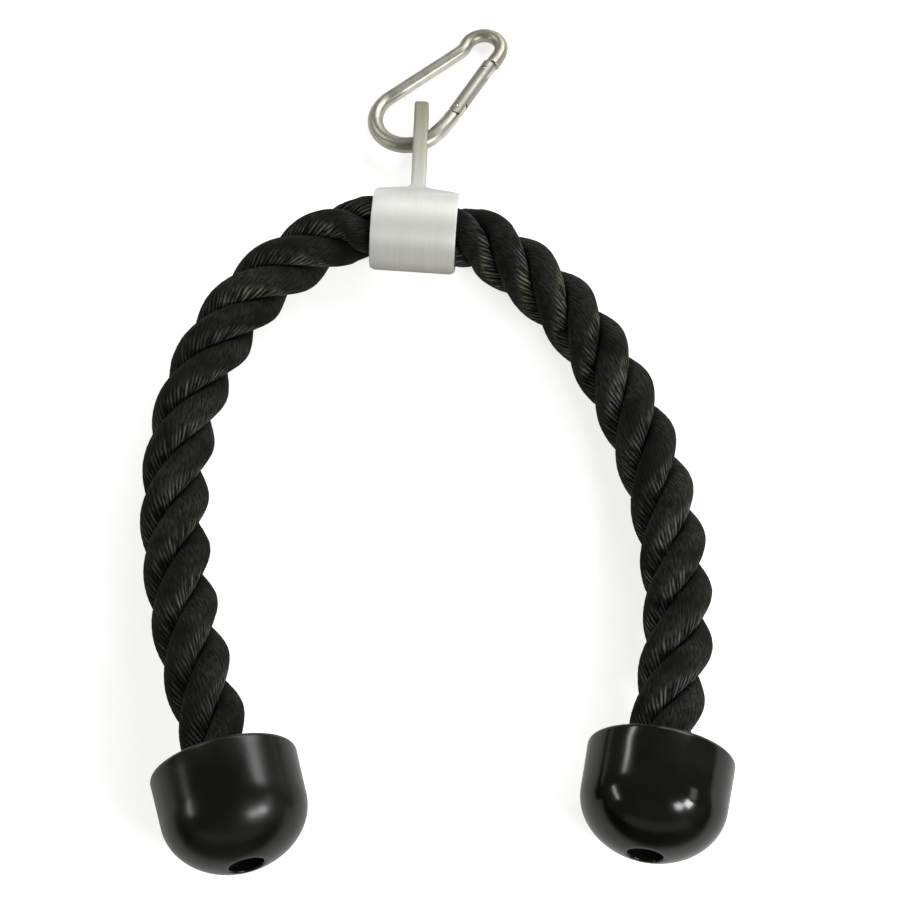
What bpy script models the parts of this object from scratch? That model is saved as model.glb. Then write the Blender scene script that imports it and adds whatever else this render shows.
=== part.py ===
"""Triceps rope attachment for a cable machine, lying on a table.

A laid rope runs through a folded steel strap. The strap's wide ends close round the rope as a
collar and are welded along one seam, and its narrow middle is folded into an eye. A snap hook
passes through the eye. A rubber cap is screwed onto each end of the rope.

+X is to the right along the collar, +Y runs from the caps to the hook, +Z is up off the table.
"""

import math

import bmesh
import bpy
from mathutils import Matrix, Vector

# Running clearance between pieces that touch, and the overrun of every cut
GAP = 0.0003
OVERRUN = 0.002

# Where the part's own origin lies among the places below
ORIGIN_X = -0.0103
ORIGIN_Y = 0.0191

# Rope
ROPE_DIAMETER = 0.0290
ROPE_STEP = 0.0290
ROPE_LEFT_ROUTE = (
    (-0.0532, 0.1055, 0.0153),
    (-0.0846, 0.0813, 0.0149),
    (-0.1056, 0.0475, 0.0148),
    (-0.1161, 0.0087, 0.0148),
    (-0.1170, -0.0312, 0.0162),
    (-0.1110, -0.0705, 0.0207),
    (-0.1009, -0.1084, 0.0262),
)
ROPE_RIGHT_ROUTE = (
    (0.0198, 0.0978, 0.0153),
    (0.0484, 0.0702, 0.0149),
    (0.0690, 0.0361, 0.0148),
    (0.0831, -0.0014, 0.0149),
    (0.0908, -0.0407, 0.0176),
    (0.0914, -0.0804, 0.0229),
    (0.0866, -0.1092, 0.0270),
)

# Strap: a steel blank, wide at both ends and narrow in the middle
STRAP_THICKNESS = 0.0025
COLLAR_WIDTH = 0.0373
COLLAR_X = -0.0173
COLLAR_Y = 0.1070
COLLAR_YAW_DEG = -4.3
EYE_DROOP_DEG = -7.5
EYE_SKEW_DEG = 2.7
EYE_WIDTH = 0.0064
EYE_GAP = 0.0100
EYE_FOLD_CENTRE = 0.0633
SEAM_DEG = 218.0
SHOULDER_START = 0.0021
SHOULDER_SLOPE_DEG = 11.0
SHOULDER_CORNER = 0.0030
SHOULDER_FILLET = 0.0036
NECK_BEND = 0.0120
EDGE_ROUND = 0.0005
WELD_HEIGHT = 0.0006
WELD_HALF_WIDTH = 0.0018
COLLAR_STEPS = 26
NECK_STEPS = 6
FOLD_STEPS = 10

# Snap hook: bent steel wire, in its own plane with +X from the big bend to the small one.
# Its big bend crosses the eye at the seat, which stands back from the eye's end.
HOOK_SEAT_DEG = 238.5
HOOK_SEAT_BACK = 0.01532
HOOK_SEAT_ASIDE = -0.00022
HOOK_SEAT_RISE = -0.00065
HOOK_AXIS_SHARES = (0.6591, 0.7504, -0.0494)
HOOK_SIDE_SHARES = (-0.7436, 0.6423, -0.1844)
BEND_SPAN = 0.0505
BIG_BEND = 0.0159
SMALL_BEND = 0.0085
SPINE_LEAN_DEG = 11.5
GATE_LEAN_DEG = 10.6
GATE_STANDOFF = 0.0170
HINGE_REACH = 0.0133
KINK_LENGTH = 0.0052
BIG_WIRE = 0.0072
SPINE_WIRE = 0.0064
SMALL_WIRE = 0.0061
NOSE_WIRE = 0.0069
NOSE_PROUD = 0.0009
WIRE_SIDES = 16

# Gate: a rod slotted at both ends, hinged on the big bend's tongue
GATE_DIAMETER = 0.0067
GATE_SETBACK = 0.0209
SLOT_WIDTH = 0.0030
HINGE_SLOT_DEPTH = 0.0040
TONGUE_ROOT = 0.0016
TONGUE_SIDE = 0.0030
TONGUE_END = 0.0026
CAM_CORNER = 0.0016
HINGE_CLEARANCE = 0.0006
NOSE_CLEARANCE = 0.0005
RIVET_DIAMETER = 0.0023
PIN_DIAMETER = 0.0018
PIN_PLAY = 0.0004
LATCH_TIP = 0.0012
LATCH_TIP_HEIGHT = 0.0012
RIVET_DOME = 0.0003

# Closing spring and plunger inside the gate
BORE_DIAMETER = 0.0038
PLUNGER_DIAMETER = 0.0026
PLUNGER_REST = 0.0002
FLANGE_DIAMETER = 0.0032
FLANGE_LENGTH = 0.0010
SPIGOT_DIAMETER = 0.0014
SPIGOT_LENGTH = 0.0020
SPRING_DIAMETER = 0.0027
SPRING_WIRE = 0.00044
SPRING_ROOM = 0.0007
SPRING_TURNS = 6
SPRING_POINTS = 10

# End caps
CAP_DIAMETER = 0.0592
CAP_LENGTH = 0.0433
CAP_WALL_LENGTH = 0.0202
CAP_DRAFT_DEG = 1.0
CAP_RIM_ROUND = 0.0020
CAP_MOUTH_CHAMFER = 0.0012
CAP_TILT_DEG = 5.0
CAP_BORE_DEPTH = 0.0275
CAP_WEB = 0.0050
CAP_HOLE = 0.0140
CAP_HOLE_ROUND = 0.0008
CAP_SIDES = 44
CAP_DOME_STEPS = 9
LEFT_CAP_X = -0.0916
LEFT_CAP_Y = -0.1381
LEFT_CAP_TURN_DEG = 15.0
RIGHT_CAP_X = 0.0825
RIGHT_CAP_Y = -0.1335
RIGHT_CAP_TURN_DEG = -11.0

# Screw and washer that hold each cap on the rope's end
SCREW_DIAMETER = 0.0058
SCREW_REACH = 0.0180
SCREW_TIP = 0.0040
SCREW_HEAD = 0.0104
SCREW_HEAD_HEIGHT = 0.0036
SOCKET_ACROSS = 0.0050
SOCKET_DEPTH = 0.0022
WASHER_DIAMETER = 0.0130
WASHER_THICKNESS = 0.0014
SCREW_SIDES = 24


# Worked out from the sizes above
COLLAR_BORE = ROPE_DIAMETER + 2 * GAP
COLLAR_OUTER = COLLAR_BORE + 2 * STRAP_THICKNESS
TONGUE_THICKNESS = SLOT_WIDTH - 2 * GAP
CAP_BORE = ROPE_DIAMETER + 2 * GAP
SCREW_HOLE = SCREW_DIAMETER + 2 * GAP
GATE_LENGTH = BEND_SPAN - GATE_SETBACK
NOSE_SLOT_DEPTH = 0.338 * GATE_LENGTH
PIN_REACH = 0.841 * GATE_LENGTH
BORE_END = 0.574 * GATE_LENGTH
PLUNGER_SHAFT = 0.142 * GATE_LENGTH
PLUNGER_TIP = TONGUE_END + PLUNGER_REST
SPRING_START = PLUNGER_TIP + PLUNGER_SHAFT + FLANGE_LENGTH + GAP
SPRING_LENGTH = BORE_END - SPRING_ROOM - SPRING_START


def clear_scene():
    for thing in list(bpy.data.objects):
        bpy.data.objects.remove(thing, do_unlink=True)


def material(name, colour, roughness, metallic):
    """A plain Principled BSDF."""
    made = bpy.data.materials.new(name)
    made.use_nodes = True
    shader = made.node_tree.nodes["Principled BSDF"]
    shader.inputs["Base Color"].default_value = (*colour, 1.0)
    shader.inputs["Roughness"].default_value = roughness
    shader.inputs["Metallic"].default_value = metallic
    made.diffuse_color = (*colour, 1.0)
    return made


def empty(name, place, parent=None):
    """An empty at a place given as a matrix in its parent's space."""
    made = bpy.data.objects.new(name, None)
    bpy.context.scene.collection.objects.link(made)
    made.parent = parent
    made.matrix_basis = place
    return made


def add_object(name, points, faces, look=None, parent=None, place=None):
    """An object from points and faces, with round stretches shaded smooth."""
    mesh = bpy.data.meshes.new(name)
    mesh.from_pydata([tuple(p) for p in points], [], faces)
    mesh.update()
    made = bpy.data.objects.new(name, mesh)
    bpy.context.scene.collection.objects.link(made)
    if look:
        mesh.materials.append(look)
        mesh.shade_smooth()
        mesh.set_sharp_from_angle(angle=math.radians(35))
    made.parent = parent
    if place:
        made.matrix_basis = place
    return made


def loft(rings, closed=False):
    """Points and faces through rings of points that turn the same way, with flat ends."""
    count = len(rings[0])
    points = [p for ring in rings for p in ring]
    faces = []
    pairs = len(rings) if closed else len(rings) - 1
    for i in range(pairs):
        here = i * count
        there = (i + 1) % len(rings) * count
        for k in range(count):
            after = (k + 1) % count
            faces.append((here + k, here + after, there + after, there + k))
    if not closed:
        last = (len(rings) - 1) * count
        faces.append(tuple(reversed(range(count))))
        faces.append(tuple(range(last, last + count)))
    return points, faces


def turned(profile, sides):
    """Points and faces of a closed profile of (radius, place along X), turned about X.

    Seen with X to the right and the radius up, the profile runs clockwise. A profile that starts
    and ends on the axis is left open there.
    """
    solid = profile[0][0] == 0
    inner = profile[1:-1] if solid else profile
    rings = []
    for radius, along in inner:
        angles = [2 * math.pi * k / sides for k in range(sides)]
        rings.append([(along, radius * math.cos(a), radius * math.sin(a)) for a in angles])
    if not solid:
        return loft(rings, closed=True)
    points, faces = loft(rings)
    faces = faces[:-2]
    first, last = len(points), len(points) + 1
    points += [(profile[0][1], 0, 0), (profile[-1][1], 0, 0)]
    end = (len(rings) - 1) * sides
    for k in range(sides):
        after = (k + 1) % sides
        faces.append((first, after, k))
        faces.append((last, end + k, end + after))
    return points, faces


def arc(centre, radius, start_deg, end_deg, steps):
    """Points along an arc in a plane."""
    turns = [math.radians(start_deg + (end_deg - start_deg) * k / steps) for k in range(steps + 1)]
    return [(centre[0] + radius * math.cos(t), centre[1] + radius * math.sin(t)) for t in turns]


def extruded(outline, half):
    """Points and faces of an anticlockwise outline in X and Y, from -half to half in Z."""
    rings = [[(x, y, z) for x, y in outline] for z in (-half, half)]
    return loft(rings)


def cut(target, cutter, operation="DIFFERENCE"):
    """Cuts, joins or intersects target with a helper that stays out of the part."""
    cutter.hide_render = True
    cutter.display_type = "WIRE"
    change = target.modifiers.new(cutter.name, "BOOLEAN")
    change.operation = operation
    change.solver = "EXACT"
    change.object = cutter
    return target


def smooth_curve(points, step):
    """Places about a step apart on a smooth curve through points."""
    points = [Vector(p) for p in points]
    before = points[0] * 2 - points[1]
    after = points[-1] * 2 - points[-2]
    hull = [before, *points, after]
    dense = []
    for a, b, c, d in zip(hull, hull[1:], hull[2:], hull[3:]):
        for k in range(16):
            t = k / 16
            blend = 2 * b + (c - a) * t + (2 * a - 5 * b + 4 * c - d) * t**2
            dense.append((blend + (3 * b - a - 3 * c + d) * t**3) / 2)
    dense.append(points[-1])
    lengths = [0.0]
    for a, b in zip(dense, dense[1:]):
        lengths.append(lengths[-1] + (b - a).length)
    count = max(1, round(lengths[-1] / step))
    found = []
    for k in range(count + 1):
        target = lengths[-1] * k / count
        i = next((j for j in range(1, len(dense)) if lengths[j] >= target), len(dense) - 1)
        share = (target - lengths[i - 1]) / (lengths[i] - lengths[i - 1])
        found.append(dense[i - 1].lerp(dense[i], min(share, 1.0)))
    return found


def hermite(start, start_way, end, end_way, steps):
    """Places between two points of a plane, leaving and arriving along given directions."""
    span = math.dist(start, end)
    found = []
    for k in range(1, steps):
        t = k / steps
        shares = (2 * t**3 - 3 * t**2 + 1, t**3 - 2 * t**2 + t, 3 * t**2 - 2 * t**3, t**3 - t**2)
        parts = (start, [span * w for w in start_way], end, [span * w for w in end_way])
        found.append(tuple(sum(s * p[i] for s, p in zip(shares, parts)) for i in range(2)))
    return found


def cap_frame(x, y, turn_deg):
    """A cap's frame: X runs from the middle of its rim to its far end, which lifts a little."""
    height = CAP_DIAMETER / 2 * math.cos(math.radians(CAP_TILT_DEG))
    turn = Matrix.Rotation(math.radians(turn_deg - 90), 4, "Z")
    lift = Matrix.Rotation(math.radians(-CAP_TILT_DEG), 4, "Y")
    return Matrix.Translation((x, y, height)) @ turn @ lift


def collar_frame():
    """The collar's frame: X runs along the rope, at the middle of the collar."""
    place = Matrix.Translation((COLLAR_X, COLLAR_Y, COLLAR_OUTER / 2))
    return place @ Matrix.Rotation(math.radians(COLLAR_YAW_DEG), 4, "Z")


def eye_frame():
    """The eye's frame: Y runs along its middle from the rope to the fold."""
    return collar_frame() @ Matrix.Rotation(math.radians(EYE_DROOP_DEG), 4, "X")


def seat_place():
    """The seat's place in the hook's plane, on the middle line of the big bend."""
    turn = math.radians(HOOK_SEAT_DEG)
    return Vector((BIG_BEND * math.cos(turn), BIG_BEND * math.sin(turn), 0))


def hook_frame():
    """The snap hook's frame, at the middle of its big bend, with Z square to its plane."""
    along = Vector(HOOK_AXIS_SHARES).normalized()
    side = Vector(HOOK_SIDE_SHARES)
    side = (side - along * side.dot(along)).normalized()
    up = along.cross(side)
    turn = Matrix((along, side, up)).transposed().to_4x4()
    end = EYE_FOLD_CENTRE + EYE_GAP / 2 - BIG_WIRE / 2
    reach = end - HOOK_SEAT_BACK
    seat = eye_frame() @ Vector((HOOK_SEAT_ASIDE - eye_lean(reach), reach, HOOK_SEAT_RISE))
    return Matrix.Translation(seat - turn @ seat_place()) @ turn


def rope_arm(side, look, root, cap, route):
    """One arm of the rope as a plain round tube, from the collar's middle into its cap.

    Its far end is bored for the cap's screw.
    """
    toward = -1 if side == "left" else 1
    collar = collar_frame()
    mouth = collar @ Vector((toward * (COLLAR_WIDTH / 2 + OVERRUN), 0, 0))
    free = smooth_curve([mouth, *route, cap @ Vector((-OVERRUN, 0, 0))], ROPE_STEP)
    start = collar @ Vector((toward * GAP / 2, 0, 0))
    end = cap @ Vector((CAP_BORE_DEPTH - GAP, 0, 0))
    guide = bpy.data.curves.new(f"rope_{side}", "CURVE")
    guide.dimensions = "3D"
    guide.bevel_depth = ROPE_DIAMETER / 2
    guide.bevel_resolution = 4
    guide.use_fill_caps = True
    places = [start, *free, end]
    spline = guide.splines.new("POLY")
    spline.points.add(len(places) - 1)
    for point, place in zip(spline.points, places):
        point.co = (*place, 1.0)
    shape = bpy.data.objects.new(f"rope_{side}_guide", guide)
    bpy.context.scene.collection.objects.link(shape)
    graph = bpy.context.evaluated_depsgraph_get()
    mesh = bpy.data.meshes.new_from_object(shape.evaluated_get(graph))
    bpy.data.objects.remove(shape)
    mesh.materials.clear()
    mesh.materials.append(look)
    made = bpy.data.objects.new(f"rope_{side}", mesh)
    bpy.context.scene.collection.objects.link(made)
    made.parent = root
    weld_points(mesh)
    return made


def weld_points(mesh):
    """Joins points that lie on one another and turns the faces outward."""
    shape = bmesh.new()
    shape.from_mesh(mesh)
    bmesh.ops.remove_doubles(shape, verts=shape.verts, dist=GAP / 100)
    bmesh.ops.recalc_face_normals(shape, faces=shape.faces)
    shape.to_mesh(mesh)
    shape.free()
    mesh.shade_smooth()
    mesh.set_sharp_from_angle(angle=math.radians(35))


def screw_hole(side, frame):
    """The cutter of the hole that a cap's screw fills in the rope's end."""
    reach = SCREW_REACH + GAP
    profile = [
        (0, CAP_BORE_DEPTH - reach),
        (SCREW_HOLE / 2, CAP_BORE_DEPTH - reach + SCREW_TIP),
        (SCREW_HOLE / 2, CAP_BORE_DEPTH + OVERRUN),
        (0, CAP_BORE_DEPTH + OVERRUN),
    ]
    points, faces = turned(profile, SCREW_SIDES)
    return add_object(f"screw_hole_cutter_{side}", points, faces, parent=frame)


def leave_angle(middle, leg):
    """The angle at which the neck's bend starts, so that it ends level with the eye's leg."""
    return math.asin((leg + NECK_BEND) / (middle + NECK_BEND))


def strap_line(seam, steps):
    """The strap's middle line from its seam round the rope and out along one leg of the eye.

    Each entry is (place, place, outward angle) in the plane square to the rope, with the eye
    pointing along the first axis. The second value returned is the entry where the collar ends.
    """
    middle = (COLLAR_OUTER - STRAP_THICKNESS) / 2
    leg = (EYE_GAP + STRAP_THICKNESS) / 2
    leave = leave_angle(middle, leg)
    line = []
    for k in range(steps + 1):
        t = seam + (leave - seam) * k / steps
        line.append((middle * math.cos(t), middle * math.sin(t), t))
    centre = [(middle + NECK_BEND) * w for w in (math.cos(leave), math.sin(leave))]
    for k in range(1, NECK_STEPS + 1):
        t = leave + (math.pi / 2 - leave) * k / NECK_STEPS
        line.append((centre[0] - NECK_BEND * math.cos(t), centre[1] - NECK_BEND * math.sin(t), t))
    line.append((EYE_FOLD_CENTRE, leg, math.pi / 2))
    return line, steps


def shoulder_outline():
    """Distances past the shoulder's start at its corner's end, its slope's end and its fillet's end."""
    slope = math.radians(SHOULDER_SLOPE_DEG)
    corner_end = SHOULDER_CORNER * math.cos(slope)
    line_half = COLLAR_WIDTH / 2 - SHOULDER_CORNER * (1 - math.sin(slope))
    fillet_middle = EYE_WIDTH / 2 + SHOULDER_FILLET
    push = SHOULDER_FILLET + (line_half - fillet_middle) * math.sin(slope)
    fillet_end = corner_end + push / math.cos(slope)
    return corner_end, fillet_end - SHOULDER_FILLET * math.cos(slope), fillet_end


def strap_half(along, shoulder):
    """Half the blank's width at a distance from the seam, with the shoulder at a given distance."""
    full = COLLAR_WIDTH / 2
    inner = full - SHOULDER_CORNER
    corner_end, slope_end, fillet_end = shoulder_outline()
    past = along - shoulder
    if along < SHOULDER_CORNER:
        return inner + math.sqrt(SHOULDER_CORNER**2 - (SHOULDER_CORNER - along) ** 2)
    if past <= 0:
        return full
    if past < corner_end:
        return inner + math.sqrt(SHOULDER_CORNER**2 - past**2)
    slope = math.radians(SHOULDER_SLOPE_DEG)
    if past < slope_end:
        return inner + SHOULDER_CORNER * math.sin(slope) - (past - corner_end) / math.tan(slope)
    if past < fillet_end:
        rise = math.sqrt(SHOULDER_FILLET**2 - (fillet_end - past) ** 2)
        return EYE_WIDTH / 2 + SHOULDER_FILLET - rise
    return EYE_WIDTH / 2


def strap_leaf(seam, steps):
    """Stations of one leaf of the strap from its seam to the fold: place, angle, half, rise."""
    line, collar_end = strap_line(seam, steps)
    lengths = [0.0]
    for a, b in zip(line, line[1:]):
        lengths.append(lengths[-1] + math.dist(a[:2], b[:2]))
    shoulder = lengths[collar_end] + SHOULDER_START
    corner_end, slope_end, fillet_end = shoulder_outline()
    quarter = [math.pi / 2 * k / 4 for k in range(5)]
    wanted = [0.0, WELD_HALF_WIDTH / 2, WELD_HALF_WIDTH]
    wanted += [SHOULDER_CORNER * (1 - math.cos(t)) for t in quarter]
    wanted += [shoulder + corner_end * math.sin(t) for t in quarter]
    wanted += [shoulder + fillet_end - (fillet_end - slope_end) * math.cos(t) for t in quarter]
    fine = (shoulder, shoulder + fillet_end)
    wanted += [d for d in lengths if SHOULDER_CORNER < d < fine[0] or d > fine[1]]
    stations = []
    for along in sorted({round(d, 9) for d in wanted}):
        place, way = along_line(line, lengths, along)
        stations.append((place, way, strap_half(along, shoulder), weld_rise(along)))
    return stations


def strap(look, root):
    """The strap as one band: collar, shoulders, eye and the weld where its ends meet."""
    seam = math.radians(SEAM_DEG)
    leg = (EYE_GAP + STRAP_THICKNESS) / 2
    stations = strap_leaf(seam, COLLAR_STEPS)
    for k in range(1, FOLD_STEPS):
        t = math.pi / 2 - math.pi * k / FOLD_STEPS
        place = (EYE_FOLD_CENTRE + leg * math.cos(t), leg * math.sin(t))
        stations.append((place, t, EYE_WIDTH / 2, 0))
    lower = strap_leaf(2 * math.pi - seam, COLLAR_STEPS // 2)
    stations += [((p[0], -p[1]), -way, half, rise) for p, way, half, rise in reversed(lower[1:])]
    points, faces = loft([strap_ring(*station) for station in stations], closed=True)
    frame = empty("collar_frame", collar_frame(), root)
    droop = Matrix.Rotation(math.radians(EYE_DROOP_DEG), 4, "X")
    made = add_object("strap", points, faces, look, frame, droop)
    weld_points(made.data)


def along_line(line, lengths, distance):
    """The place and outward angle at a distance along a line of (x, y, angle)."""
    i = next((j for j in range(1, len(lengths)) if lengths[j] >= distance), len(lengths) - 1)
    share = (distance - lengths[i - 1]) / (lengths[i] - lengths[i - 1])
    a, b = line[i - 1], line[i]
    return tuple(a[k] + (b[k] - a[k]) * share for k in range(2)), a[2] + (b[2] - a[2]) * share


def weld_rise(along):
    """How far the weld stands out of the strap at a distance from the seam."""
    if along >= WELD_HALF_WIDTH:
        return 0.0
    return WELD_HEIGHT * (1 + math.cos(math.pi * along / WELD_HALF_WIDTH)) / 2


def eye_lean(reach):
    """How far the eye leans to the left at a reach from the rope's middle."""
    return math.tan(math.radians(EYE_SKEW_DEG)) * max(0, reach - COLLAR_OUTER / 2)


def strap_ring(place, way, half, rise):
    """The strap's cross-section: a flat bar with its edges eased."""
    out = (math.cos(way), math.sin(way))
    aside = eye_lean(place[0])
    top = STRAP_THICKNESS / 2 + rise
    low = -STRAP_THICKNESS / 2
    ease = EDGE_ROUND
    section = [
        (half - ease, top),
        (half, top - ease),
        (half, low + ease),
        (half - ease, low),
        (ease - half, low),
        (-half, low + ease),
        (-half, top - ease),
        (ease - half, top),
    ]
    return [(x - aside, place[0] + out[0] * h, place[1] + out[1] * h) for x, h in section]


def gate_ways():
    """The gate's direction from its hinge to the nose, and the inward direction square to it."""
    lean = math.radians(GATE_LEAN_DEG)
    return (math.cos(lean), math.sin(lean)), (-math.sin(lean), math.cos(lean))


def hinge_place():
    """The hinge's place in the hook's plane."""
    along, inward = gate_ways()
    return tuple(HINGE_REACH * along[i] - GATE_STANDOFF * inward[i] for i in range(2))


def gate_point(distance, inward_distance=0):
    """A place in the hook's plane, given along the gate and inward from it."""
    along, inward = gate_ways()
    hinge = hinge_place()
    return tuple(hinge[i] + distance * along[i] + inward_distance * inward[i] for i in range(2))


def hook_path():
    """The wire's middle line from the nose round to the hinge, as (x, y, wire radius)."""
    along, _ = gate_ways()
    nose = gate_point(GATE_LENGTH + NOSE_CLEARANCE, -NOSE_PROUD)
    small = arc((BEND_SPAN, 0), SMALL_BEND, -52, 112, 12)
    way = (math.cos(math.radians(38)), math.sin(math.radians(38)))
    into_small = hermite(nose, along, small[0], way, 5)
    lean = math.radians(SPINE_LEAN_DEG)
    foot = (BIG_BEND * math.sin(lean), BIG_BEND * math.cos(lean))
    spine_way = (-math.cos(lean), math.sin(lean))
    leave = (-math.sin(math.radians(112)), math.cos(math.radians(112)))
    run = (small[-1][0] - foot[0]) / math.cos(lean) - KINK_LENGTH
    head = (foot[0] - spine_way[0] * run, foot[1] - spine_way[1] * run)
    kink = hermite(small[-1], leave, head, spine_way, 5)
    spine = [tuple(head[i] + (foot[i] - head[i]) * k / 3 for i in range(2)) for k in range(4)]
    big = arc((0, 0), BIG_BEND, 90 - SPINE_LEAN_DEG, 265, 22)[1:]
    end = gate_point(-GATE_DIAMETER / 2 - HINGE_CLEARANCE)
    turn = math.radians(265 + 90)
    into_hinge = hermite(big[-1], (math.cos(turn), math.sin(turn)), end, along, 5)
    sizes = (
        ([nose, *into_small], NOSE_WIRE, SMALL_WIRE),
        (small, SMALL_WIRE, SMALL_WIRE),
        ([*kink, *spine], SMALL_WIRE, SPINE_WIRE),
        (big[:8], SPINE_WIRE, BIG_WIRE),
        ([*big[8:], *into_hinge, end], BIG_WIRE, BIG_WIRE),
    )
    path = []
    for places, first, last in sizes:
        for k, place in enumerate(places):
            share = k / max(1, len(places) - 1)
            path.append((*place, (first + (last - first) * share) / 2))
    return path


def wire_rings(path, first_way, last_way):
    """Rings of a bent wire along a path in the hook's plane."""
    rings = []
    for i, (x, y, radius) in enumerate(path):
        if i == 0:
            way = first_way
        elif i == len(path) - 1:
            way = last_way
        else:
            way = (path[i + 1][0] - path[i - 1][0], path[i + 1][1] - path[i - 1][1])
        size = math.hypot(*way)
        side = (-way[1] / size, way[0] / size)
        ring = []
        for k in range(WIRE_SIDES):
            t = 2 * math.pi * (k + 0.5) / WIRE_SIDES
            out = radius * math.cos(t)
            ring.append((x + side[0] * out, y + side[1] * out, radius * math.sin(t)))
        rings.append(ring)
    return rings


def plate(name, outline, half, gate_frame):
    """A plate in the hook's plane from an outline given along and inward from the gate."""
    points, faces = extruded(outline, half)
    return add_object(name, points, faces, parent=gate_frame)


def carabiner_body(look, frame, gate_frame):
    """The bent wire with a flat tongue at the hinge and a hooked one at the nose."""
    along, _ = gate_ways()
    points, faces = loft(wire_rings(hook_path(), along, along))
    body = add_object("carabiner_body", points, faces, look, frame)
    weld_points(body.data)
    side = TONGUE_SIDE
    face = -GATE_DIAMETER / 2 - HINGE_CLEARANCE
    corner = TONGUE_END - TONGUE_ROOT / 2
    hinge = [
        (face - TONGUE_ROOT, -side),
        (corner, -side),
        (TONGUE_END, -side / 2),
        (TONGUE_END, CAM_CORNER),
        (corner, side),
        (face - TONGUE_ROOT, side),
    ]
    half = TONGUE_THICKNESS / 2
    cut(body, plate("hinge_tongue", hinge, half, gate_frame), "UNION")
    cut(body, plate("latch_tongue", latch_outline(), half, gate_frame), "UNION")
    cut(body, gate_pin("rivet_hole_cutter", 0, RIVET_DIAMETER + GAP, SLOT_WIDTH, gate_frame))


def latch_outline():
    """The nose's tongue, notched on its inner side for the gate's pin."""
    face = GATE_LENGTH + NOSE_CLEARANCE
    side = TONGUE_SIDE
    near = PIN_REACH - PIN_DIAMETER / 2 - PIN_PLAY
    far = PIN_REACH + PIN_DIAMETER / 2 + PIN_PLAY
    floor = -PIN_DIAMETER / 2 - GAP
    tip = near - LATCH_TIP
    return [
        (tip, -side + LATCH_TIP / 2),
        (tip + LATCH_TIP / 2, -side),
        (face + TONGUE_ROOT, -side),
        (face + TONGUE_ROOT, side - NOSE_PROUD),
        (far, side - NOSE_PROUD),
        (far, floor),
        (near, floor),
        (near, LATCH_TIP_HEIGHT),
        (tip, LATCH_TIP_HEIGHT - LATCH_TIP / 2),
    ]


def gate_solid(name, profile, look, hinge_frame, sides):
    """A turned piece on the gate's axis, in the gate's own frame."""
    points, faces = turned(profile, sides)
    return add_object(name, points, faces, look, hinge_frame)


def gate_box(name, start, end, frame):
    """A cutter for a slot through the gate, in the gate's own frame."""
    side = GATE_DIAMETER
    outline = [(start, -side), (end, -side), (end, side), (start, side)]
    points, faces = extruded(outline, SLOT_WIDTH / 2)
    return add_object(name, points, faces, parent=frame)


def cylinder_profile(radius, start, end):
    """The profile of a plain round bar along X."""
    return [(0, start), (radius, start), (radius, end), (0, end)]


def gate_pin(name, distance, diameter, half, frame, look=None, dome=0):
    """A pin across the gate, in the gate's own frame."""
    profile = cylinder_profile(diameter / 2, -half, half)
    if dome:
        profile = [
            (0, -half),
            (diameter / 2 - dome, -half),
            (diameter / 2, dome - half),
            (diameter / 2, half - dome),
            (diameter / 2 - dome, half),
            (0, half),
        ]
    points, faces = turned(profile, SCREW_SIDES)
    place = Matrix.Translation((distance, 0, 0)) @ Matrix.Rotation(math.radians(-90), 4, "Y")
    return add_object(name, points, faces, look, frame, place)


def gate(look, frame):
    """The slotted rod, rounded about its hinge and bored for the spring."""
    radius = GATE_DIAMETER / 2
    start, end = -radius - OVERRUN, GATE_LENGTH
    made = gate_solid("carabiner_gate", cylinder_profile(radius, start, end), look, frame, SCREW_SIDES)
    outline = arc((0, 0), radius, 90, 270, 16)
    outline += [(end + OVERRUN, -radius), (end + OVERRUN, radius)]
    points, faces = extruded(outline, GATE_DIAMETER)
    cut(made, add_object("gate_round_keeper", points, faces, parent=frame), "INTERSECT")
    cut(made, gate_box("hinge_slot_cutter", -GATE_DIAMETER, HINGE_SLOT_DEPTH, frame))
    cut(made, gate_box("nose_slot_cutter", end - NOSE_SLOT_DEPTH, end + OVERRUN, frame))
    bore = cylinder_profile(BORE_DIAMETER / 2, HINGE_SLOT_DEPTH - OVERRUN, BORE_END)
    cut(made, gate_solid("gate_bore_cutter", bore, None, frame, SCREW_SIDES))
    cut(made, gate_pin("gate_rivet_cutter", 0, RIVET_DIAMETER + GAP, GATE_DIAMETER, frame))
    cut(made, gate_pin("gate_pin_cutter", PIN_REACH, PIN_DIAMETER + GAP, GATE_DIAMETER, frame))


def plunger(look, frame):
    """The plunger that the spring presses onto the hinge tongue's flat end."""
    tip = PLUNGER_TIP
    radius = PLUNGER_DIAMETER / 2
    flange = tip + PLUNGER_SHAFT
    spigot = flange + FLANGE_LENGTH
    profile = [
        (0, tip),
        (radius, tip),
        (radius, flange),
        (FLANGE_DIAMETER / 2, flange),
        (FLANGE_DIAMETER / 2, spigot),
        (SPIGOT_DIAMETER / 2, spigot),
        (SPIGOT_DIAMETER / 2, spigot + SPIGOT_LENGTH),
        (0, spigot + SPIGOT_LENGTH),
    ]
    points, faces = turned(profile, SCREW_SIDES // 2)
    add_object("gate_plunger", points, faces, look, frame)


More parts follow.
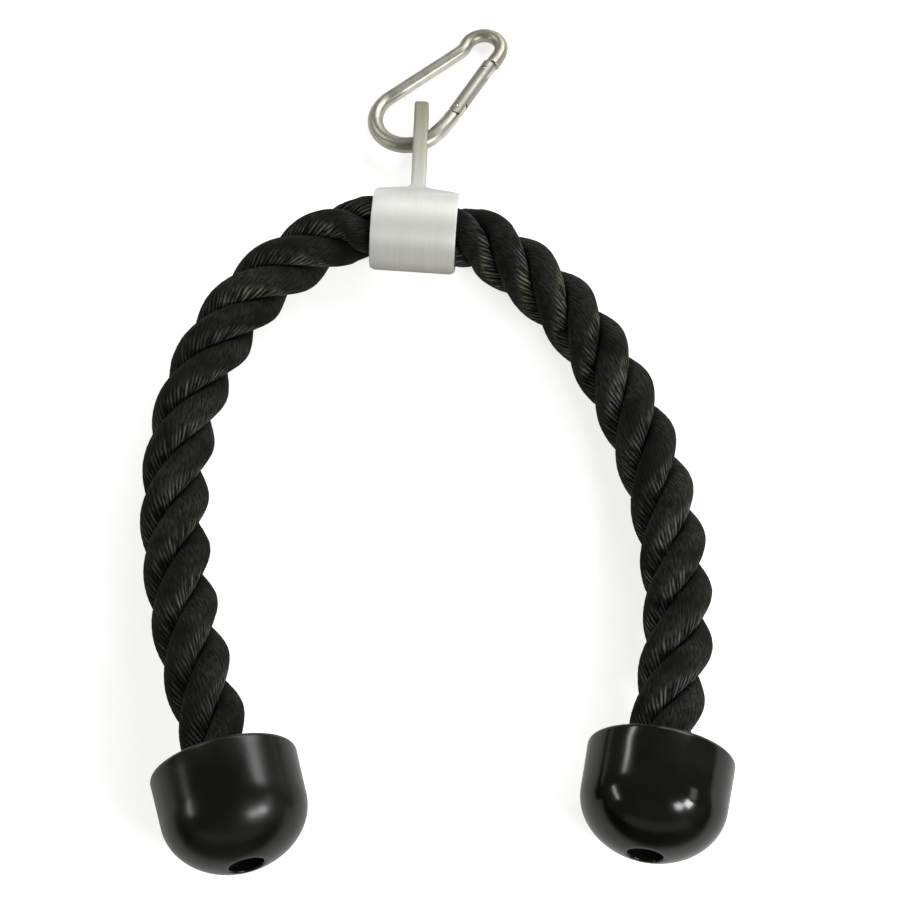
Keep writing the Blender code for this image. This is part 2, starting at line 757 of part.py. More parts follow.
def spring(look, frame):
    """The closing spring, one unbroken coil of wire."""
    radius = SPRING_WIRE / 2
    middle = SPRING_DIAMETER / 2
    start = SPRING_START + radius
    count = SPRING_TURNS * SPRING_POINTS
    rings = []
    for i in range(count + 1):
        turn = 2 * math.pi * i / SPRING_POINTS
        rise = (SPRING_LENGTH - SPRING_WIRE) / (2 * math.pi * SPRING_TURNS)
        centre = Vector((start + rise * turn, middle * math.cos(turn), middle * math.sin(turn)))
        out = Vector((0, math.cos(turn), math.sin(turn)))
        way = Vector((rise, -middle * math.sin(turn), middle * math.cos(turn))).normalized()
        side = way.cross(out)
        angles = [2 * math.pi * k / 6 for k in range(6)]
        rings.append([centre + radius * (math.cos(a) * out + math.sin(a) * side) for a in angles])
    points, faces = loft(rings)
    made = add_object("gate_spring", points, faces, look, frame)
    weld_points(made.data)
    pitch = (SPRING_LENGTH - SPRING_WIRE) / SPRING_TURNS
    print(f"gate_spring least gap between turns {1000 * (pitch - SPRING_WIRE):.2f} mm")


def snap_hook(looks, root):
    """The snap hook: bent body, hinged gate, rivet, latch pin, plunger and spring."""
    along = Matrix.Rotation(math.radians(HOOK_SEAT_DEG) + math.pi / 2, 4, "Z")
    swing = Matrix.Translation(seat_place()) @ along
    swing_frame = empty("swing_frame", hook_frame() @ swing, root)
    frame = empty("hook_frame", swing.inverted(), swing_frame)
    turn = Matrix.Rotation(math.radians(GATE_LEAN_DEG), 4, "Z")
    gate_frame = empty("gate_frame", Matrix.Translation((*hinge_place(), 0)) @ turn, frame)
    carabiner_body(looks["wire"], frame, gate_frame)
    gate(looks["gate"], gate_frame)
    half = GATE_DIAMETER / 2
    gate_pin("gate_rivet", 0, RIVET_DIAMETER, half + RIVET_DOME, gate_frame, looks["pin"], RIVET_DOME)
    gate_pin("latch_pin", PIN_REACH, PIN_DIAMETER, half, gate_frame, looks["pin"], RIVET_DOME)
    plunger(looks["pin"], gate_frame)
    spring(looks["spring"], gate_frame)


def dome_profile():
    """The cap's outer profile from its straight wall round to the hole in its far end."""
    wall = CAP_DIAMETER / 2 - CAP_WALL_LENGTH * math.tan(math.radians(CAP_DRAFT_DEG))
    mouth = CAP_HOLE / 2 + CAP_HOLE_ROUND
    edge = math.asin(mouth / wall)
    depth = (CAP_LENGTH - CAP_WALL_LENGTH) / math.cos(edge)
    points = []
    for k in range(CAP_DOME_STEPS + 1):
        t = math.pi / 2 + (edge - math.pi / 2) * k / CAP_DOME_STEPS
        points.append((wall * math.sin(t), CAP_WALL_LENGTH + depth * math.cos(t)))
    return points


def end_cap(side, frame, look):
    """A rubber cap: straight wall, domed end, bore for the rope, web and screw recess."""
    radius = CAP_DIAMETER / 2
    rim = arc((CAP_RIM_ROUND, radius - CAP_RIM_ROUND), CAP_RIM_ROUND, 180, 90, 4)
    bore = CAP_BORE / 2
    web_end = CAP_BORE_DEPTH + CAP_WEB
    profile = [
        (bore + CAP_MOUTH_CHAMFER, 0),
        *[(r, a) for a, r in rim],
        *dome_profile(),
        (CAP_HOLE / 2, CAP_LENGTH - CAP_HOLE_ROUND / 2),
        (CAP_HOLE / 2, web_end),
        (SCREW_HOLE / 2, web_end),
        (SCREW_HOLE / 2, CAP_BORE_DEPTH),
        (bore, CAP_BORE_DEPTH),
        (bore, CAP_MOUTH_CHAMFER),
    ]
    points, faces = turned(profile, CAP_SIDES)
    add_object(f"end_cap_{side}", points, faces, look, frame)


def cap_screw(side, frame, look, washer_look):
    """The washer in the cap's recess and the screw that runs through it into the rope."""
    seat = CAP_BORE_DEPTH + CAP_WEB + GAP
    top = seat + WASHER_THICKNESS
    ring = [
        (SCREW_HOLE / 2, seat),
        (WASHER_DIAMETER / 2, seat),
        (WASHER_DIAMETER / 2, top),
        (SCREW_HOLE / 2, top),
    ]
    points, faces = turned(ring, SCREW_SIDES)
    add_object(f"cap_washer_{side}", points, faces, washer_look, frame)
    head = top + GAP
    tip = CAP_BORE_DEPTH - SCREW_REACH
    ease = SCREW_HEAD_HEIGHT / 4
    profile = [
        (0, tip),
        (SCREW_DIAMETER / 2, tip + SCREW_TIP),
        (SCREW_DIAMETER / 2, head),
        (SCREW_HEAD / 2, head),
        (SCREW_HEAD / 2, head + SCREW_HEAD_HEIGHT - ease),
        (SCREW_HEAD / 2 - ease, head + SCREW_HEAD_HEIGHT),
        (0, head + SCREW_HEAD_HEIGHT),
    ]
    points, faces = turned(profile, SCREW_SIDES)
    made = add_object(f"cap_screw_{side}", points, faces, look, frame)
    floor = head + SCREW_HEAD_HEIGHT - SOCKET_DEPTH
    socket = cylinder_profile(SOCKET_ACROSS / math.sqrt(3), floor, floor + SOCKET_DEPTH + OVERRUN)
    points, faces = turned(socket, 6)
    cut(made, add_object(f"socket_cutter_{side}", points, faces, parent=frame))


def main():
    clear_scene()
    root = empty("part_origin", Matrix.Translation((-ORIGIN_X, -ORIGIN_Y, 0)))
    rubber = material("cap_rubber", (0.020, 0.021, 0.019), 0.35, 0.0)
    cord = material("rope_fibre", (0.030, 0.031, 0.028), 0.80, 0.0)
    plated = material("strap_plate", (0.70, 0.70, 0.67), 0.32, 1.0)
    dark = material("screw_steel", (0.06, 0.06, 0.06), 0.45, 1.0)
    looks = {
        "wire": material("hook_plate", (0.62, 0.60, 0.56), 0.22, 1.0),
        "gate": material("gate_plate", (0.62, 0.60, 0.55), 0.25, 1.0),
        "pin": material("pin_steel", (0.55, 0.53, 0.48), 0.35, 1.0),
        "spring": material("spring_steel", (0.45, 0.45, 0.44), 0.35, 1.0),
    }
    for side, x, y, turn, route in (
        ("left", LEFT_CAP_X, LEFT_CAP_Y, LEFT_CAP_TURN_DEG, ROPE_LEFT_ROUTE),
        ("right", RIGHT_CAP_X, RIGHT_CAP_Y, RIGHT_CAP_TURN_DEG, ROPE_RIGHT_ROUTE),
    ):
        place = cap_frame(x, y, turn)
        frame = empty(f"cap_frame_{side}", place, root)
        end_cap(side, frame, rubber)
        cap_screw(side, frame, dark, dark)
        arm = rope_arm(side, cord, root, place, route)
        cut(arm, screw_hole(side, frame))
    strap(plated, root)
    snap_hook(looks, root)


if __name__ == "__main__":
    main()
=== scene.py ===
"""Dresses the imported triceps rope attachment: laid rope, rubber caps, steel strap and snap hook."""

import math
from functools import partial

import bmesh
import bpy
from mathutils import Matrix, Vector


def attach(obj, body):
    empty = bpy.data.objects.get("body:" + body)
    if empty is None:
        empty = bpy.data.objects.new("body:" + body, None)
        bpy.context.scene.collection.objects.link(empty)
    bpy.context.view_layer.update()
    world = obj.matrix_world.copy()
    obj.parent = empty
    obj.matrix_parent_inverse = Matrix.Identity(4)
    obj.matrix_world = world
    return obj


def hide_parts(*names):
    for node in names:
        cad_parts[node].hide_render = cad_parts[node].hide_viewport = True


bl_info = {
    "name": "Triceps Rope Attachment",
    "version": (1, 0, 0),
    "blender": (4, 5, 0),
    "location": "3D View > Sidebar > Rope Attachment",
    "description": "Builds the rope, caps, strap and snap hook of a cable machine's triceps rope",
    "category": "Object",
}

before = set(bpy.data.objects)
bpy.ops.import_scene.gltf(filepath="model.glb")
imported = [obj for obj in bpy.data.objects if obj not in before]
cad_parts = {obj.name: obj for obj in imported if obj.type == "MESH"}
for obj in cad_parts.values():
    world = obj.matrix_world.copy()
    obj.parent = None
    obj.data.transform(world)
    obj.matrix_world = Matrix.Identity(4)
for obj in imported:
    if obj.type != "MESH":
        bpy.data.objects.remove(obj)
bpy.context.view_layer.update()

# The part's origin stands this far from where its places below are given
SHIFT = Vector((0.0103, -0.0191, 0))

# Each arm of the rope, from near the collar to near its cap
LEFT_ROUTE = (
    (-0.0532, 0.1055, 0.0153),
    (-0.0846, 0.0813, 0.0149),
    (-0.1056, 0.0475, 0.0148),
    (-0.1161, 0.0087, 0.0148),
    (-0.1170, -0.0312, 0.0162),
    (-0.1110, -0.0705, 0.0207),
    (-0.1009, -0.1084, 0.0262),
)
RIGHT_ROUTE = (
    (0.0198, 0.0978, 0.0153),
    (0.0484, 0.0702, 0.0149),
    (0.0690, 0.0361, 0.0148),
    (0.0831, -0.0014, 0.0149),
    (0.0908, -0.0407, 0.0176),
    (0.0914, -0.0804, 0.0229),
    (0.0866, -0.1092, 0.0270),
)

# Where the middle of each cap's rim stands, and the way that the cap points, in degrees from -Y
CAP_PLACES = {"left": (-0.0916, -0.1381, 15.0), "right": (0.0825, -0.1335, -11.0)}

# The strap's place, and the directions of the snap hook's length and width
COLLAR_PLACE = (-0.0173, 0.1070)
HOOK_ALONG = (0.6591, 0.7504, -0.0494)
HOOK_ACROSS = (-0.7436, 0.6423, -0.1844)

# The camera stands where the photograph was taken: its lens and sensor in millimetres, and how
# far it is turned up from straight down, in degrees
CAMERA_PLACE = (0.0, -0.39972, 0.96028)
CAMERA_LENS = 95.947
CAMERA_TILT = 23
SENSOR_WIDTH = 36.0

# The lamps beside the main one: power in watts, width, depth, place and the point that it faces
LAMPS = {
    "right_softbox": (2.4, 0.50, 0.30, (0.72, 0.58, 0.78), (0, 0, 0)),
    "right_low_softbox": (0.6, 0.40, 0.20, (0.98, -0.28, 0.62), (0, 0, 0)),
    "left_strip": (1.9, 0.55, 0.08, (-1.08, -0.33, 0.50), (0, -0.1, 0)),
    "left_high_strip": (1.7, 0.36, 0.08, (-0.66, 0.54, 0.66), (0, -0.1, 0)),
    "right_spot": (2.7, 0.20, 0.20, (0.543, -0.740, 0.656), (0, -0.1, 0)),
    "right_low_spot": (3.7, 0.20, 0.20, (0.748, -0.600, 0.570), (0, -0.1, 0)),
    "front_fill": (1.3, 2.6, 0.5, (0.0, -1.70, 0.25), (0, -0.1, 0.1)),
}


# Settings


def length(name, about, value):
    """A length in metres that a user may change."""
    return bpy.props.FloatProperty(
        name=name, description=about, default=value, min=0.0, unit="LENGTH", precision=5
    )


def turn(name, about, value):
    """An angle that a user may change."""
    return bpy.props.FloatProperty(
        name=name, description=about, default=math.radians(value), unit="ROTATION"
    )


def colour(name, about, code):
    """A colour that a user may change."""
    return bpy.props.FloatVectorProperty(
        name=name, description=about, default=linear(code), size=4, subtype="COLOR"
    )


def linear(code):
    """The linear colour of an sRGB hex value."""
    found = []
    for i in (1, 3, 5):
        value = int(code[i : i + 2], 16) / 255
        found.append(value / 12.92 if value <= 0.04045 else ((value + 0.055) / 1.055) ** 2.4)
    return (*found, 1.0)


class RopeSettings(bpy.types.PropertyGroup):
    """Sizes and colours of the laid rope."""

    diameter: length("Diameter", "Across the crests of the strands", 0.0289)
    strand_offset: length("Strand offset", "From the rope's middle to a strand's middle", 0.0063)
    left_lay: length("Left lay", "Rope length of one turn at the collar, left arm", 0.0709)
    left_end_lay: length("Left end lay", "Rope length of one turn at the cap, left arm", 0.0779)
    right_lay: length("Right lay", "Rope length of one turn at the collar, right arm", 0.0716)
    right_end_lay: length("Right end lay", "Rope length of one turn at the cap, right arm", 0.0751)
    yarns: bpy.props.IntProperty(
        name="Yarns", description="Yarns on the outside of each strand", default=28, min=6
    )
    yarn_depth: length("Yarn depth", "Height of a yarn over the groove beside it", 0.00045)
    yarn_lay: length("Yarn lay", "Rope length in which a yarn goes once round its strand", 0.0410)
    ring_step: length("Ring step", "Rope length between rings of the mesh", 0.0015)
    # The next two settings shape the paler fibre beside the collar and on the left arm's inner side:
    # a painted sheen, partly also handling marks
    worn_run: length("Worn run", "Rope length over which the wear beside the collar fades", 0.16)
    outer_wear_and_sheen: bpy.props.FloatProperty(
        name="Outer wear", description="Wear left on the left arm's outer side", default=0.25
    )
    left_start: turn("Left start", "Angle of the first strand in the collar, left arm", 79.8)
    right_start: turn("Right start", "Angle of the first strand in the collar, right arm", 24.5)
    # Fibre is the painted highlight colour of filaments that stand in the light; worn and olive are
    # paler painted highlights that also stand for handling marks; shade is the near-black base, used
    # as painted shade in the grooves between yarns
    fibre: colour("Fibre", "Filaments that stand in the light", "#3d3d35")
    worn: colour("Worn fibre", "Filaments rubbed pale", "#a3a39b")
    olive: colour("Olive fibre", "Rubbed filaments where they have yellowed", "#85835a")
    shade: colour("Shade", "Filaments in the grooves between yarns", "#050504")


class CapSettings(bpy.types.PropertyGroup):
    """Sizes and colours of the rubber end caps."""

    diameter: length("Diameter", "Across the rim", 0.0592)
    length: length("Length", "From the rim to the far end", 0.0433)
    wall: length("Wall length", "Straight part, from the rim", 0.0202)
    draft: turn("Draft", "Lean of the straight part", 1.0)
    tilt: turn("Tilt", "Rise of the cap's far end as it lies", 5.0)
    bore: length("Bore", "Diameter of the hole that takes the rope", 0.0296)
    bore_depth: length("Bore depth", "Depth of the hole that takes the rope", 0.0275)
    web: length("Web", "Rubber between the rope's end and the screw's washer", 0.0050)
    hole: length("Screw recess", "Diameter of the hole in the far end", 0.0140)
    screw_hole: length("Screw hole", "Diameter of the hole through the web", 0.0064)
    rubber: colour("Rubber", "Moulded rubber", "#0c0d0b")
    bloom: colour("Bloom", "Pale bloom and handling marks on the rubber", "#2a2924")


class StrapSettings(bpy.types.PropertyGroup):
    """Sizes and colours of the folded steel strap."""

    thickness: length("Thickness", "Of the steel", 0.0025)
    bore: length("Collar bore", "Across the rope inside the collar", 0.0296)
    width: length("Collar width", "Along the rope", 0.0373)
    yaw: turn("Yaw", "Turn of the collar on the table", -4.3)
    droop: turn("Droop", "Fall of the eye toward the table", -7.5)
    skew: turn("Skew", "Lean of the eye to the left", 2.7)
    eye_width: length("Eye width", "Width of the narrow middle of the blank", 0.0064)
    eye_gap: length("Eye gap", "Clear height inside the eye", 0.0100)
    fold: length("Fold place", "From the rope's middle to the middle of the fold", 0.0633)
    seam: turn("Seam place", "Where the blank's ends meet, round the collar", 218.0)
    start: length("Shoulder start", "From the end of the collar's round", 0.0021)
    slope: turn("Shoulder slope", "Lean of the shoulder's edge", 11.0)
    corner: length("Corner radius", "Of the blank's corners", 0.0030)
    fillet: length("Fillet radius", "Where the shoulder meets the neck", 0.0036)
    bend: length("Neck bend", "Radius where the neck leaves the collar", 0.0120)
    edge: length("Edge round", "Radius of the worn edges", 0.0006)
    eye_edge: length("Eye edge round", "Radius of the same edges along the eye", 0.0011)
    plating: colour("Plating", "Brushed zinc plating on the collar", "#f2f2f1")
    # Colour of the painted shade on the neck, the eye and the collar's underside
    painted_shade: colour("Dull plating", "The same plating where it has dulled", "#8a8a70")


class HookSettings(bpy.types.PropertyGroup):
    """Sizes and colours of the snap hook."""

    span: length("Bend span", "Between the middles of the two bends", 0.0505)
    big_bend: length("Big bend", "Radius of the wire's middle line", 0.0159)
    small_bend: length("Small bend", "Radius of the wire's middle line", 0.0085)
    spine_lean: turn("Spine lean", "Of the long side to the hook's length", 11.5)
    gate_lean: turn("Gate lean", "Of the gate to the hook's length", 10.6)
    seat: turn("Seat", "Place on the big bend that crosses the strap's eye", 238.5)
    seat_back: length("Seat back", "How far the seat stands back from the eye's end", 0.01532)
    seat_aside: length("Seat aside", "How far the seat stands left of the eye's middle", 0.00022)
    seat_drop: length("Seat drop", "How far the seat stands below the eye's middle", 0.00065)
    standoff: length("Gate stand-off", "From the big bend's middle to the gate's line", 0.0170)
    reach: length("Hinge reach", "From the big bend's middle along the gate's line", 0.0133)
    kink: length("Kink length", "Of the joggle between spine and small bend", 0.0052)
    big_wire: length("Big wire", "Wire diameter at the big bend", 0.0072)
    spine_wire: length("Spine wire", "Wire diameter along the long side", 0.0064)
    small_wire: length("Small wire", "Wire diameter at the small bend", 0.0061)
    nose_wire: length("Nose wire", "Wire diameter at the nose", 0.0069)
    nose_proud: length("Nose proud", "How far the nose stands outside the gate", 0.0009)
    gate: length("Gate diameter", "Of the round gate", 0.0067)
    gate_length: length("Gate length", "From the hinge to the gate's end", 0.0296)
    slot: length("Slot width", "Of the gate's two slots", 0.0030)
    hinge_slot: length("Hinge slot", "Depth of the slot at the hinge", 0.0040)
    nose_slot: length("Nose slot", "Depth of the slot at the nose", 0.0079)
    gap: length("Gap", "Between the gate and the hook's two ends", 0.0006)
    rivet: length("Rivet diameter", "Of the hinge rivet", 0.0023)
    pin: length("Pin diameter", "Of the latch pin", 0.0018)
    pin_reach: length("Pin reach", "From the hinge to the latch pin", 0.0249)
    plating: colour("Plating", "Nickel plating on the wire", "#d8d6cd")
    # Worn plating is also the colour of the painted shade at the hook's two bends
    worn: colour("Worn plating", "Nickel plating where it has yellowed", "#a5a396")
    gate_plating: colour("Gate plating", "Duller nickel plating on the gate", "#acaaa2")


class StageSettings(bpy.types.PropertyGroup):
    """The floor and the lamps."""

    floor: bpy.props.FloatProperty(
        name="Floor size", description="Side of the floor", default=8.0, unit="LENGTH"
    )
    glow: bpy.props.FloatProperty(
        name="Floor glow", description="White that the camera sees in the floor", default=0.72
    )
    lamp: bpy.props.FloatProperty(
        name="Lamp power", description="Power of the main soft lamp", default=14.0, unit="POWER"
    )


# Mesh helpers


def new_object(name, points, faces, edges=()):
    """An object at the origin, from points and the faces or edges between them."""
    mesh = bpy.data.meshes.new(name)
    mesh.from_pydata([tuple(p) for p in points], edges, faces)
    made = bpy.data.objects.new(name, mesh)
    bpy.context.scene.collection.objects.link(made)
    return made


def add_object(name, points, faces, place):
    """An object at the origin, with its place in its mesh and its faces pointing outwards."""
    made = new_object(name, points, faces)
    made.data.transform(place)
    tidy(made.data)
    return made


def turn_outwards(mesh, merge=0.0):
    """Merges points up to a distance apart, turns the faces outwards and shades them smooth."""
    shape = bmesh.new()
    shape.from_mesh(mesh)
    if merge:
        bmesh.ops.remove_doubles(shape, verts=shape.verts, dist=merge)
    bmesh.ops.recalc_face_normals(shape, faces=shape.faces)
    shape.to_mesh(mesh)
    shape.free()
    mesh.shade_smooth()


def tidy(mesh):
    """Closes a mesh where its points lie on one another, and shades its corners sharp."""
    turn_outwards(mesh, merge=1e-7)
    mesh.set_sharp_from_angle(angle=math.radians(40))


def loft(rings, closed=False):
    """Points and faces through rings of points, with flat ends unless closed."""
    count = len(rings[0])
    points = [p for ring in rings for p in ring]
    faces = []
    for i in range(len(rings) if closed else len(rings) - 1):
        here = i * count
        there = (i + 1) % len(rings) * count
        for k in range(count):
            after = (k + 1) % count
            faces.append((here + k, here + after, there + after, there + k))
    if not closed:
        last = (len(rings) - 1) * count
        faces.append(tuple(reversed(range(count))))
        faces.append(tuple(range(last, last + count)))
    return points, faces


def turned(profile, sides):
    """Points and faces of a profile of (radius, place along X) turned about X."""
    solid = profile[0][0] == 0
    inner = profile[1:-1] if solid else profile
    rings = []
    for radius, along in inner:
        angles = [2 * math.pi * k / sides for k in range(sides)]
        rings.append([(along, radius * math.cos(a), radius * math.sin(a)) for a in angles])
    if not solid:
        return loft(rings, closed=True)
    points, faces = loft(rings)
    faces = faces[:-2]
    first = len(points)
    last = first + 1
    points += [(profile[0][1], 0, 0), (profile[-1][1], 0, 0)]
    end = (len(rings) - 1) * sides
    for k in range(sides):
        after = (k + 1) % sides
        faces.append((first, after, k))
        faces.append((last, end + k, end + after))
    return points, faces


def arc(centre, radius, start_deg, end_deg, steps):
    """Points along an arc in a plane."""
    turns = [math.radians(start_deg + (end_deg - start_deg) * k / steps) for k in range(steps + 1)]
    return [(centre[0] + radius * math.cos(t), centre[1] + radius * math.sin(t)) for t in turns]


def extruded(outline, half):
    """Points and faces of an outline in X and Y, from -half to half in Z."""
    return loft([[(x, y, z) for x, y in outline] for z in (-half, half)])


def rounded(outline, radius):
    """An outline with its corners rounded, in four steps each."""
    found = []
    for i, corner in enumerate(outline):
        here = Vector(corner)
        before = Vector(outline[i - 1]) - here
        after = Vector(outline[(i + 1) % len(outline)]) - here
        reach = min(radius, before.length / 2.2, after.length / 2.2)
        start = here + before.normalized() * reach
        end = here + after.normalized() * reach
        for t in (0.0, 0.25, 0.5, 0.75, 1.0):
            found.append(tuple(start * (1 - t) ** 2 + here * 2 * t * (1 - t) + end * t**2))
    return found


def cut(target, cutters, operation="DIFFERENCE"):
    """Cuts cutters from target, or joins them to it, and removes them."""
    for cutter in cutters:
        change = target.modifiers.new("cut", "BOOLEAN")
        change.operation = operation
        change.solver = "EXACT"
        change.object = cutter
        flatten(target)
        bpy.data.objects.remove(cutter)


def flatten(made):
    """Turns what the object's modifiers give into its plain mesh."""
    graph = bpy.context.evaluated_depsgraph_get()
    mesh = bpy.data.meshes.new_from_object(made.evaluated_get(graph))
    made.modifiers.clear()
    old = made.data
    made.data = mesh
    bpy.data.meshes.remove(old)
    mesh.name = made.name


def settle(made, look, body, replaced):
    """Tidies a finished piece, gives it its material and body, and hides the CAD node it stands for.
    """
    tidy(made.data)
    made.data.materials.clear()
    made.data.materials.append(look)
    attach(made, body)
    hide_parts(replaced)


# Material helpers

# The kinds of node that are used most. RANGE takes a value, the two ends of its own range and
# the two ends of the range that it is spread over. MIX takes its two colours at 6 and 7.
MATHS = "ShaderNodeMath"
VECTOR = "ShaderNodeVectorMath"
NOISE = "ShaderNodeTexNoise"
RANGE = "ShaderNodeMapRange"
RAMP = "ShaderNodeValToRGB"
MIX = "ShaderNodeMix"
BUMP = "ShaderNodeBump"
MAPPING = "ShaderNodeMapping"
PLACE = "ShaderNodeTexCoord"
NAMED = "ShaderNodeAttribute"


def feed(made, inputs):
    """Gives a node's inputs, by name or in order, a value each or another node's output."""
    for key, value in inputs.items() if isinstance(inputs, dict) else enumerate(inputs):
        if isinstance(value, bpy.types.NodeSocket):
            made.id_data.links.new(value, made.inputs[key])
        else:
            made.inputs[key].default_value = value


def node(tree, kind, inputs=(), out=0, **settings):
    """Adds a node with its settings and links, and gives one of its outputs."""
    made = tree.nodes.new(kind)
    for name, value in settings.items():
        setattr(made, name, value)
    feed(made, inputs)
    return made.outputs[out] if made.outputs else None


def stops(ramp, *pairs):
    """Sets a colour ramp's stops from pairs of place and grey level or colour."""
    line = ramp.node.color_ramp.elements
    while len(line) > 1:
        line.remove(line[-1])
    for i, (place, value) in enumerate(pairs):
        stop = line[0] if i == 0 else line.new(place)
        stop.position = place
        stop.color = value if isinstance(value, tuple) else (value, value, value, 1.0)
    return ramp


def new_material(name):
    """A material with a bare Principled BSDF, a function that adds to its tree, and its shader."""
    made = bpy.data.materials.new(name)
    made.use_nodes = True
    return made, partial(node, made.node_tree), made.node_tree.nodes["Principled BSDF"]


def laid_fibre(s):
    """Laid polypropylene fibre: matt near-black yarns whose fine filaments catch the light, shown as
    painted highlights, with painted shade between the yarns.
    """
    made, add, shader = new_material("laid_polypropylene_fibre")
    uv = add("ShaderNodeUVMap", uv_map="yarn")
    crest = add(NAMED, out="Fac", attribute_name="crest")
    edge = add(NAMED, out="Fac", attribute_name="edge")
    # Each yarn catches the light differently, in stretches of about 8 mm
    long = add(MAPPING, {"Vector": uv, "Scale": (120.0, 1.4, 1.0)})
    streak = add(NOISE, {"Vector": long, "Scale": 1.0, "Detail": 3.0, "Roughness": 0.7})
    streak = stops(add(RAMP, (streak,)), (0.43, 0.0), (0.62, 1.0))
    # Patches of about 15 mm where the yarns have been rubbed and catch more light
    place = add(PLACE, out="Object")
    patch = add(NOISE, {"Vector": place, "Scale": 60.0, "Detail": 2.0})
    patch = stops(add(RAMP, (patch,)), (0.35, 0.15), (0.65, 1.0))
    # Filaments lie along the yarns all over, in tufts of about 0.7 by 4 mm
    tuft = add(MAPPING, {"Vector": uv, "Scale": (260.0, 2.6, 1.0)})
    fuzz = add(NOISE, {"Vector": tuft, "Scale": 1.0, "Detail": 4.0, "Roughness": 0.7})
    fuzz = stops(add(RAMP, (fuzz,)), (0.40, 0.0), (0.68, 0.85))
    fuzz = add(MATHS, (fuzz, patch), operation="MULTIPLY")
    # Painted highlight: the edge that turns into the groove gets the lit fibre colour on its yarn
    # crests, with painted shade between them, so that its yarns show one by one
    high = add(MATHS, (crest, 2.0), operation="POWER")
    lit = add(MATHS, (high, streak), operation="MULTIPLY")
    lit = add(MIX, {0: edge, 2: fuzz, 3: lit})
    tone = add(MIX, {0: lit, 6: s.shade, 7: s.fibre}, 2, data_type="RGBA")
    # The pale colours go on the lit yarns of that edge as a painted highlight, scaled by a painted
    # sheen that also stands for handling marks
    lit_and_rubbed = add(MATHS, (edge, lit), operation="MULTIPLY")
    wear = add(NAMED, out="Fac", attribute_name="wear")
    wear = add(MATHS, (wear, patch), operation="MULTIPLY")
    lit_and_rubbed = add(MATHS, (lit_and_rubbed, wear), operation="MULTIPLY")
    olive_share = add(MATHS, (wear, 2.0), operation="POWER")
    pale = add(MIX, {0: olive_share, 6: s.worn, 7: s.olive}, 2, data_type="RGBA")
    tone = add(MIX, {0: lit_and_rubbed, 6: tone, 7: pale}, 2, data_type="RGBA")
    gloss = add(RANGE, (lit, 0.0, 1.0, 0.85, 0.45))
    bump = add(BUMP, {"Strength": 0.5, "Distance": 0.0003, "Height": lit})
    feed(shader, {"Base Color": tone, "Roughness": gloss, "Normal": bump})
    feed(shader, {"Specular IOR Level": 0.16})
    return made


def moulded_rubber(s, name, rough):
    """Moulded black rubber: semi-gloss skin with a faint bloom, as from handling."""
    made, add, shader = new_material(name)
    place = add(PLACE, out="Object")
    cloud = add(NOISE, {"Vector": place, "Scale": 38.0, "Detail": 4.0, "Roughness": 0.55})
    share = stops(add(RAMP, (cloud,)), (0.42, 0.0), (0.80, 0.35))
    tone = add(MIX, {0: share, 6: s.rubber, 7: s.bloom}, 2, data_type="RGBA")
    gloss = add(RANGE, (cloud, 0.35, 0.7, rough, rough + 0.1))
    # The skin waves a little over about 11 mm, under a mould grain of about 0.7 mm
    wave = add(NOISE, {"Vector": place, "Scale": 90.0, "Detail": 2.0})
    soft = add(BUMP, {"Strength": 0.15, "Distance": 0.0004, "Height": wave})
    grain = add(NOISE, {"Vector": place, "Scale": 1500.0, "Detail": 1.0})
    fine = add(BUMP, {"Strength": 0.06, "Distance": 0.00005, "Height": grain, "Normal": soft})
    feed(shader, {"Base Color": tone, "Roughness": gloss, "Normal": fine})
    feed(shader, {"Specular IOR Level": 0.34})
    return made


def brushed_zinc(s):
    """Zinc-plated mild steel, belt-brushed round the collar: satin, with fine parallel lines."""
    made, add, shader = new_material("brushed_zinc_plated_steel")
    uv = add("ShaderNodeUVMap", uv_map="blank")
    # Brush lines about 0.25 mm apart across the blank and 30 mm long
    lines = add(MAPPING, {"Vector": uv, "Scale": (34.0, 4200.0, 1.0)})
    brush = add(NOISE, {"Vector": lines, "Scale": 1.0, "Detail": 2.0})
    place = add(PLACE, out="Object")
    cloud = add(NOISE, {"Vector": place, "Scale": 70.0, "Detail": 3.0})
    # Painted shade: the neck, the eye and the collar's underside are darker and more olive
    painted_shade = add(NAMED, out="Fac", attribute_name="painted_shade")
    share = add(MATHS, (cloud, 0.10, painted_shade), operation="MULTIPLY_ADD")
    share = add(MATHS, (brush, 0.35, share), operation="MULTIPLY_ADD")
    share = add(MATHS, (share, 0.19), operation="SUBTRACT")
    tone = add(MIX, {0: share, 6: s.plating, 7: s.painted_shade}, 2, data_type="RGBA")
    gloss = add(RANGE, (brush, 0.3, 0.7, 0.54, 0.66))
    bump = add(BUMP, {"Strength": 0.3, "Distance": 0.00003, "Height": brush})
    feed(shader, {"Base Color": tone, "Roughness": gloss, "Normal": bump, "Metallic": 0.45})
    # The brush lines spread a highlight across them, along the rope
    lie = add("ShaderNodeTangent", direction_type="UV_MAP", uv_map="blank")
    feed(shader, {"Tangent": lie, "Anisotropic": 0.4, "Anisotropic Rotation": 0.25})
    return made


